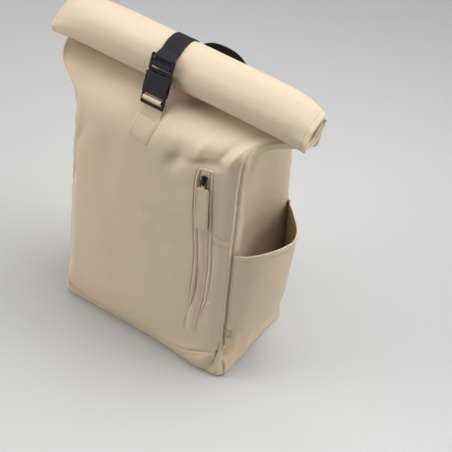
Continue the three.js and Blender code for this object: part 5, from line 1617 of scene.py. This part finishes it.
def box_stitch(name, line, wide, out, width, thick):
    """A sewn box with a cross in it, over the last stretch of a strap."""
    side = width / 2 - 0.0022
    top = out * (thick / 2 + 0.0001)
    last = len(line) - 1
    rows = []
    for way in (-1, 1):
        rows.append(stitch_row(line + wide * side * way + top, out))
        slope = np.linspace(-side * way, side * way, len(line))[:, None]
        rows.append(stitch_row(line + wide * slope + top, out))
    for k in (0, last):
        across = np.linspace(-side, side, 10)[:, None]
        rows.append(stitch_row(line[k] + wide[k] * across + top[k], np.broadcast_to(out[k], (10, 3))))
    stitches(name, rows, black_thread_finish(), slot="webbing")


# Shoulder straps and handle


def pad_path(way):
    """Middle line of a shoulder pad, with the width, thickness and splay at each point."""
    size, body = settings("strap"), settings("body")
    run = np.linspace(0, PAD_RUN["run"][-1], 110)
    part = {name: curve(PAD_RUN["run"], PAD_RUN[name], run) for name in PAD_RUN if name != "run"}
    path = np.stack([
        way * mix(size.pad_middle, size.pad_foot_across, part["splay"]),
        body.depth / 2 + part["away"] * size.pad_stand_off,
        size.pad_top + part["up"] * (size.pad_top - size.pad_foot),
    ], 1)
    return path, part


class StrapFrame(BarFrame):
    """The adjuster's axes, from its middle bar, on the line from the pad's foot to the strap's seam."""

    def __init__(self, way):
        size, body = settings("strap"), settings("body")
        foot = pad_path(way)[0][-1]
        self.sewn = np.array([way * size.foot_across, body.depth / 2 + size.thick, size.foot])
        self.down = unit(self.sewn - foot)
        self.wide = unit(X_AXIS - self.down * (X_AXIS @ self.down))
        self.bar = 2 * size.bar + size.opening + 0.0006
        self.loop = 0.009
        middle = foot + self.down * (self.loop + self.bar)
        super().__init__(middle, -self.down, unit(np.cross(self.wide, self.down)))


class BACKPACK_OT_shoulder_straps(bpy.types.Operator):
    """Makes the padded shoulder straps, their adjusters and the lower webbing"""

    bl_idname = "backpack.shoulder_straps"
    bl_label = "Shoulder straps"

    def execute(self, context):
        for side, way in (("right", 1), ("left", -1)):
            self.pad(side, way)
            self.lower(side, way)
            refinish("adjuster_" + side, plastic_finish())
        return {"FINISHED"}

    def pad(self, side, way):
        size = settings("strap")
        path, part = pad_path(way)
        f = StrapFrame(way)
        across = unit(mix(X_AXIS, f.wide, part["splay"][:, None]))
        wide, out = band_frames(path, across)
        edge = np.array([0, 0.03, 0.08, 0.14, 0.2])
        shares = np.concatenate([edge - 1, np.linspace(-0.7, 0.7, 19), 1 - edge[::-1]])
        bound = 0.0062
        rings = []
        for k in range(len(path)):
            half = part["wide"][k] * size.pad_width / 2
            thick = part["thick"][k] * size.pad_thick / 2
            edge = half * (1 - np.abs(shares))
            near = np.clip(edge / 0.017, 0, 1)
            padding = mix(0.0016, thick, np.sqrt(near * (2 - near)))
            binding = 0.0017 * np.sqrt(np.clip(1 - ((edge - bound / 2) / (bound / 2)) ** 2, 0, 1))
            rise = out[k] * np.where(edge < bound, 0.0004 + binding, padding)[:, None]
            face = path[k] + wide[k] * (shares * half)[:, None]
            rings.append(np.concatenate([face + rise, (face - rise)[::-1][1:-1]]))
        piece = tube_piece("shoulder_pad_cloth_" + side, np.array(rings), canvas_finish())
        self.swell(piece, path)
        settle(piece, "canvas", "shoulder_pad_" + side)
        rows = []
        half = (part["wide"] * size.pad_width / 2 - bound + 0.0008)[:, None]
        for edge_way, face_way in ((-1, -1), (-1, 1), (1, -1), (1, 1)):
            line = path + wide * half * edge_way + out * (0.0016 * face_way)
            rows.append(stitch_row(line[4:-3], out[4:-3] * face_way))
        stitches("pad_stitches_" + side, rows, thread_finish())

    def swell(self, piece, path):
        """Soft waves in the padding between its bound edges."""
        points = np.array([v.co for v in piece.data.vertices])
        normals = np.array([v.normal for v in piece.data.vertices])
        near = np.linalg.norm(points[:, None] - path[None], axis=2).min(1)
        lift = 0.0007 * ripple(81, points, 0.014) * np.clip(1 - near / 0.026, 0, 1)
        piece.data.vertices.foreach_set("co", (points + normals * lift[:, None]).astype(np.float32).ravel())
        piece.data.update()

    def lower(self, side, way):
        size, f = settings("strap"), StrapFrame(way)
        layers = ((f.bar + f.loop - 0.0004, 0.0013), (f.bar + 0.006, 0.0016), (f.bar + 0.0036, 0.0023))
        behind = f.points(*((up, -away) for up, away in layers))
        carry = [*behind, *f.round_bar(f.bar, -90, -270), *f.points(*layers[::-1])]
        piece = self.webbing("pad_loop_webbing_" + side, carry, f.wide, 0.0012)[0]
        settle(piece, "webbing", "pad_loop_" + side)
        low, layer = -f.bar, f.layer
        fixed = [
            mix(f.sewn, f.at(low, -layer), s) - f.out * 0.005 * s * (1 - s)
            for s in (0, 0.2, 0.4, 0.6, 0.8, 0.93)
        ]
        over = [
            *f.points((low, -layer), (low / 2, -layer - 0.0001)), *f.round_bar(0, -90, 90),
            *f.points((low / 2, layer + 0.0001), (low, layer), (low - 0.004, layer + 0.0003)),
        ]
        fall = (f.down + [0, 0, -1.0]) * size.tail * 0.5
        tail = [over[-1] + fall * s for s in (0.12, 0.35, 0.65, 1)]
        piece, line, wide, out = self.webbing("lower_webbing_" + side, [*fixed, *over, *tail], f.wide, 0.0016)
        settle(piece, "webbing", "lower_strap_" + side)
        box_stitch("lower_stitches_" + side, line[1:11], wide[1:11], out[1:11], size.webbing, size.thick)
        across = wide[-3] * np.linspace(-0.01, 0.01, 8)[:, None] + out[-3] * 0.0008
        rows = [stitch_row(line[k] + across, np.broadcast_to(out[-3], (8, 3))) for k in (-5, -3)]
        stitches("tail_stitches_" + side, rows, black_thread_finish(), slot="webbing")

    def webbing(self, name, path, across, pitch):
        size = settings("strap")
        return band_piece(name, path, across, size.webbing, size.thick, webbing_finish(), pitch)


class BACKPACK_OT_handle(bpy.types.Operator):
    """Makes the grab handle: an arch of webbing with both feet sewn to the back"""

    bl_idname = "backpack.handle"
    bl_label = "Grab handle"

    def execute(self, context):
        size, body = settings("strap"), settings("body")
        half = size.handle_span / 2
        heights = size.handle_foot - np.array([0.016, 0.008, 0])
        feet = strap_on_wall(wall_cloth(2), half, heights, 0.0005 + size.thick * 0.7)
        angle = np.radians([8, 22, 36, 50, 64, 77, 90])
        arch = np.stack([
            half * np.cos(angle) ** 0.8,
            body.depth / 2 + 0.0015 + size.handle_stand_off * np.sin(angle),
            size.handle_foot + size.handle_rise * np.sin(angle),
        ], 1)
        right = np.concatenate([feet, arch])
        left = right[:-1][::-1] * [-1, 1, 1]
        path, _shares = smooth_path(np.concatenate([right, left]), 0.0016)
        across = unit(np.cross(np.gradient(path, axis=0), [0, 1.0, 0]))
        widths, thick = np.full(len(path), size.webbing), size.thick * 1.4
        name, finish = "handle_webbing", webbing_finish()
        piece, path, wide, out = band_along(name, path, across, widths, thick, finish, 11)
        settle(piece, "webbing", "grab_handle")
        outer = out if out[0][1] > 0 else -out
        for name, part in (("right", slice(1, 10)), ("left", slice(len(path) - 10, len(path) - 1))):
            box_stitch("handle_stitches_" + name, path[part], wide[part], outer[part], size.webbing, thick)
        return {"FINISHED"}


# Stage


class ViewSettings(bpy.types.PropertyGroup):
    azimuth: turn_angle("Azimuth", "Angle of the view round the bag", 30.6)
    elevation: turn_angle("Elevation", "Angle of the view above level", 43.5)
    roll: turn_angle("Roll", "Turn of the camera about its own axis", 5.1)
    distance: length("Distance", "From the camera to the point it looks at", 2.2024, 0.1, 20)
    target: FloatVectorProperty(
        name="Target", description="Point that the camera looks at", default=(0.07367, 0.00792, 0.1931),
        unit="LENGTH",
    )
    lens: FloatProperty(
        name="Lens", description="Focal length on a 36 mm sensor, in millimetres", default=127.43,
    )


class BACKPACK_OT_stage(bpy.types.Operator):
    """Adds the pale floor, the soft studio lights and the camera"""

    bl_idname = "backpack.stage"
    bl_label = "Stage"

    def execute(self, context):
        view = settings("view")
        a, e, roll = view.azimuth, view.elevation, view.roll
        right = Vector((math.cos(a), math.sin(a), 0))
        up = Vector((-math.sin(e) * math.sin(a), math.sin(e) * math.cos(a), math.cos(e)))
        back = Vector((math.sin(a) * math.cos(e), -math.cos(a) * math.cos(e), math.sin(e)))
        turned = Matrix((
            right * math.cos(roll) + up * math.sin(roll),
            up * math.cos(roll) - right * math.sin(roll),
            back,
        )).transposed().to_4x4()
        data = bpy.data.cameras.new("camera")
        data.lens, data.sensor_width = view.lens, 36
        data.clip_start, data.clip_end = 0.05, 60
        camera = bpy.data.objects.new("camera", data)
        camera.matrix_world = Matrix.Translation(Vector(view.target) + back * view.distance) @ turned
        context.scene.collection.objects.link(camera)
        context.scene.camera = camera

        bpy.ops.object.select_all(action="DESELECT")
        bpy.ops.mesh.primitive_plane_add(size=30, location=(0, 0, -0.0002))
        floor = context.object
        floor.name = "floor"
        floor.data.materials.append(floor_finish())
        self.light("overhead", (0.0, 0.15, 1.9), (0.05, -0.15, 0), 1.5, 6.3, (0.95, 0.965, 1.0), 80)
        self.light("behind", (0.9, 0.8, 1.9), (0.05, 0, 0.1), 1.4, 10, (0.97, 0.98, 1.0), 110)
        self.light("left", (-1.9, -1.3, 1.1), (0, 0, 0.2), 1.6, 39, (1.0, 0.985, 0.985))
        self.light("right", (2.2, -0.1, 1.2), (0, 0, 0.15), 1.8, 19, (1.0, 0.985, 0.985))
        world = bpy.data.worlds.new("studio")
        world.use_nodes = True
        world.node_tree.nodes["Background"].inputs["Color"].default_value = (0.75, 0.77, 0.78, 1)
        world.node_tree.nodes["Background"].inputs["Strength"].default_value = 0.02
        context.scene.world = world
        context.scene.view_settings.view_transform = "Standard"
        return {"FINISHED"}

    def light(self, name, at, aim, size, power, tint, spread=180):
        data = bpy.data.lights.new(name, "AREA")
        data.spread = math.radians(spread)
        data.size, data.energy, data.color = size, power, tint
        lamp = bpy.data.objects.new(name, data)
        lamp.location = at
        lamp.rotation_mode = "QUATERNION"
        lamp.rotation_quaternion = (Vector(aim) - Vector(at)).to_track_quat("-Z", "Y")
        bpy.context.scene.collection.objects.link(lamp)


# Panel and registering


GROUPS = {
    "body": BodySizes, "roll": RollSizes, "zip": ZipSizes, "pocket": PocketSizes, "strap": StrapSizes,
    "stitch": StitchSizes, "finish": Finishes, "view": ViewSettings,
}
OPERATORS = [
    BACKPACK_OT_stage, BACKPACK_OT_walls, BACKPACK_OT_base, BACKPACK_OT_roll, BACKPACK_OT_zip,
    BACKPACK_OT_pocket, BACKPACK_OT_closure, BACKPACK_OT_shoulder_straps, BACKPACK_OT_handle,
]


class BACKPACK_PT_panel(bpy.types.Panel):
    """Lists the backpack's sizes and the steps that make it"""

    bl_idname = "BACKPACK_PT_panel"
    bl_label = "Rolltop backpack"
    bl_space_type = "VIEW_3D"
    bl_region_type = "UI"
    bl_category = "Backpack"

    def draw(self, context):
        for step in OPERATORS:
            self.layout.operator(step.bl_idname)
        for name, group in GROUPS.items():
            box = self.layout.box()
            box.label(text=name.capitalize())
            for field in group.__annotations__:
                box.prop(settings(name), field)


def register():
    for group in (*GROUPS.values(), *OPERATORS, BACKPACK_PT_panel):
        bpy.utils.register_class(group)
    for name, group in GROUPS.items():
        setattr(bpy.types.Scene, "backpack_" + name, PointerProperty(type=group))


def unregister():
    for name in GROUPS:
        delattr(bpy.types.Scene, "backpack_" + name)
    for group in (BACKPACK_PT_panel, *reversed(OPERATORS), *reversed(GROUPS.values())):
        bpy.utils.unregister_class(group)


def main():
    register()
    for step in OPERATORS:
        group, name = step.bl_idname.split(".")
        getattr(getattr(bpy.ops, group), name)()


if __name__ == "__main__":
    main()
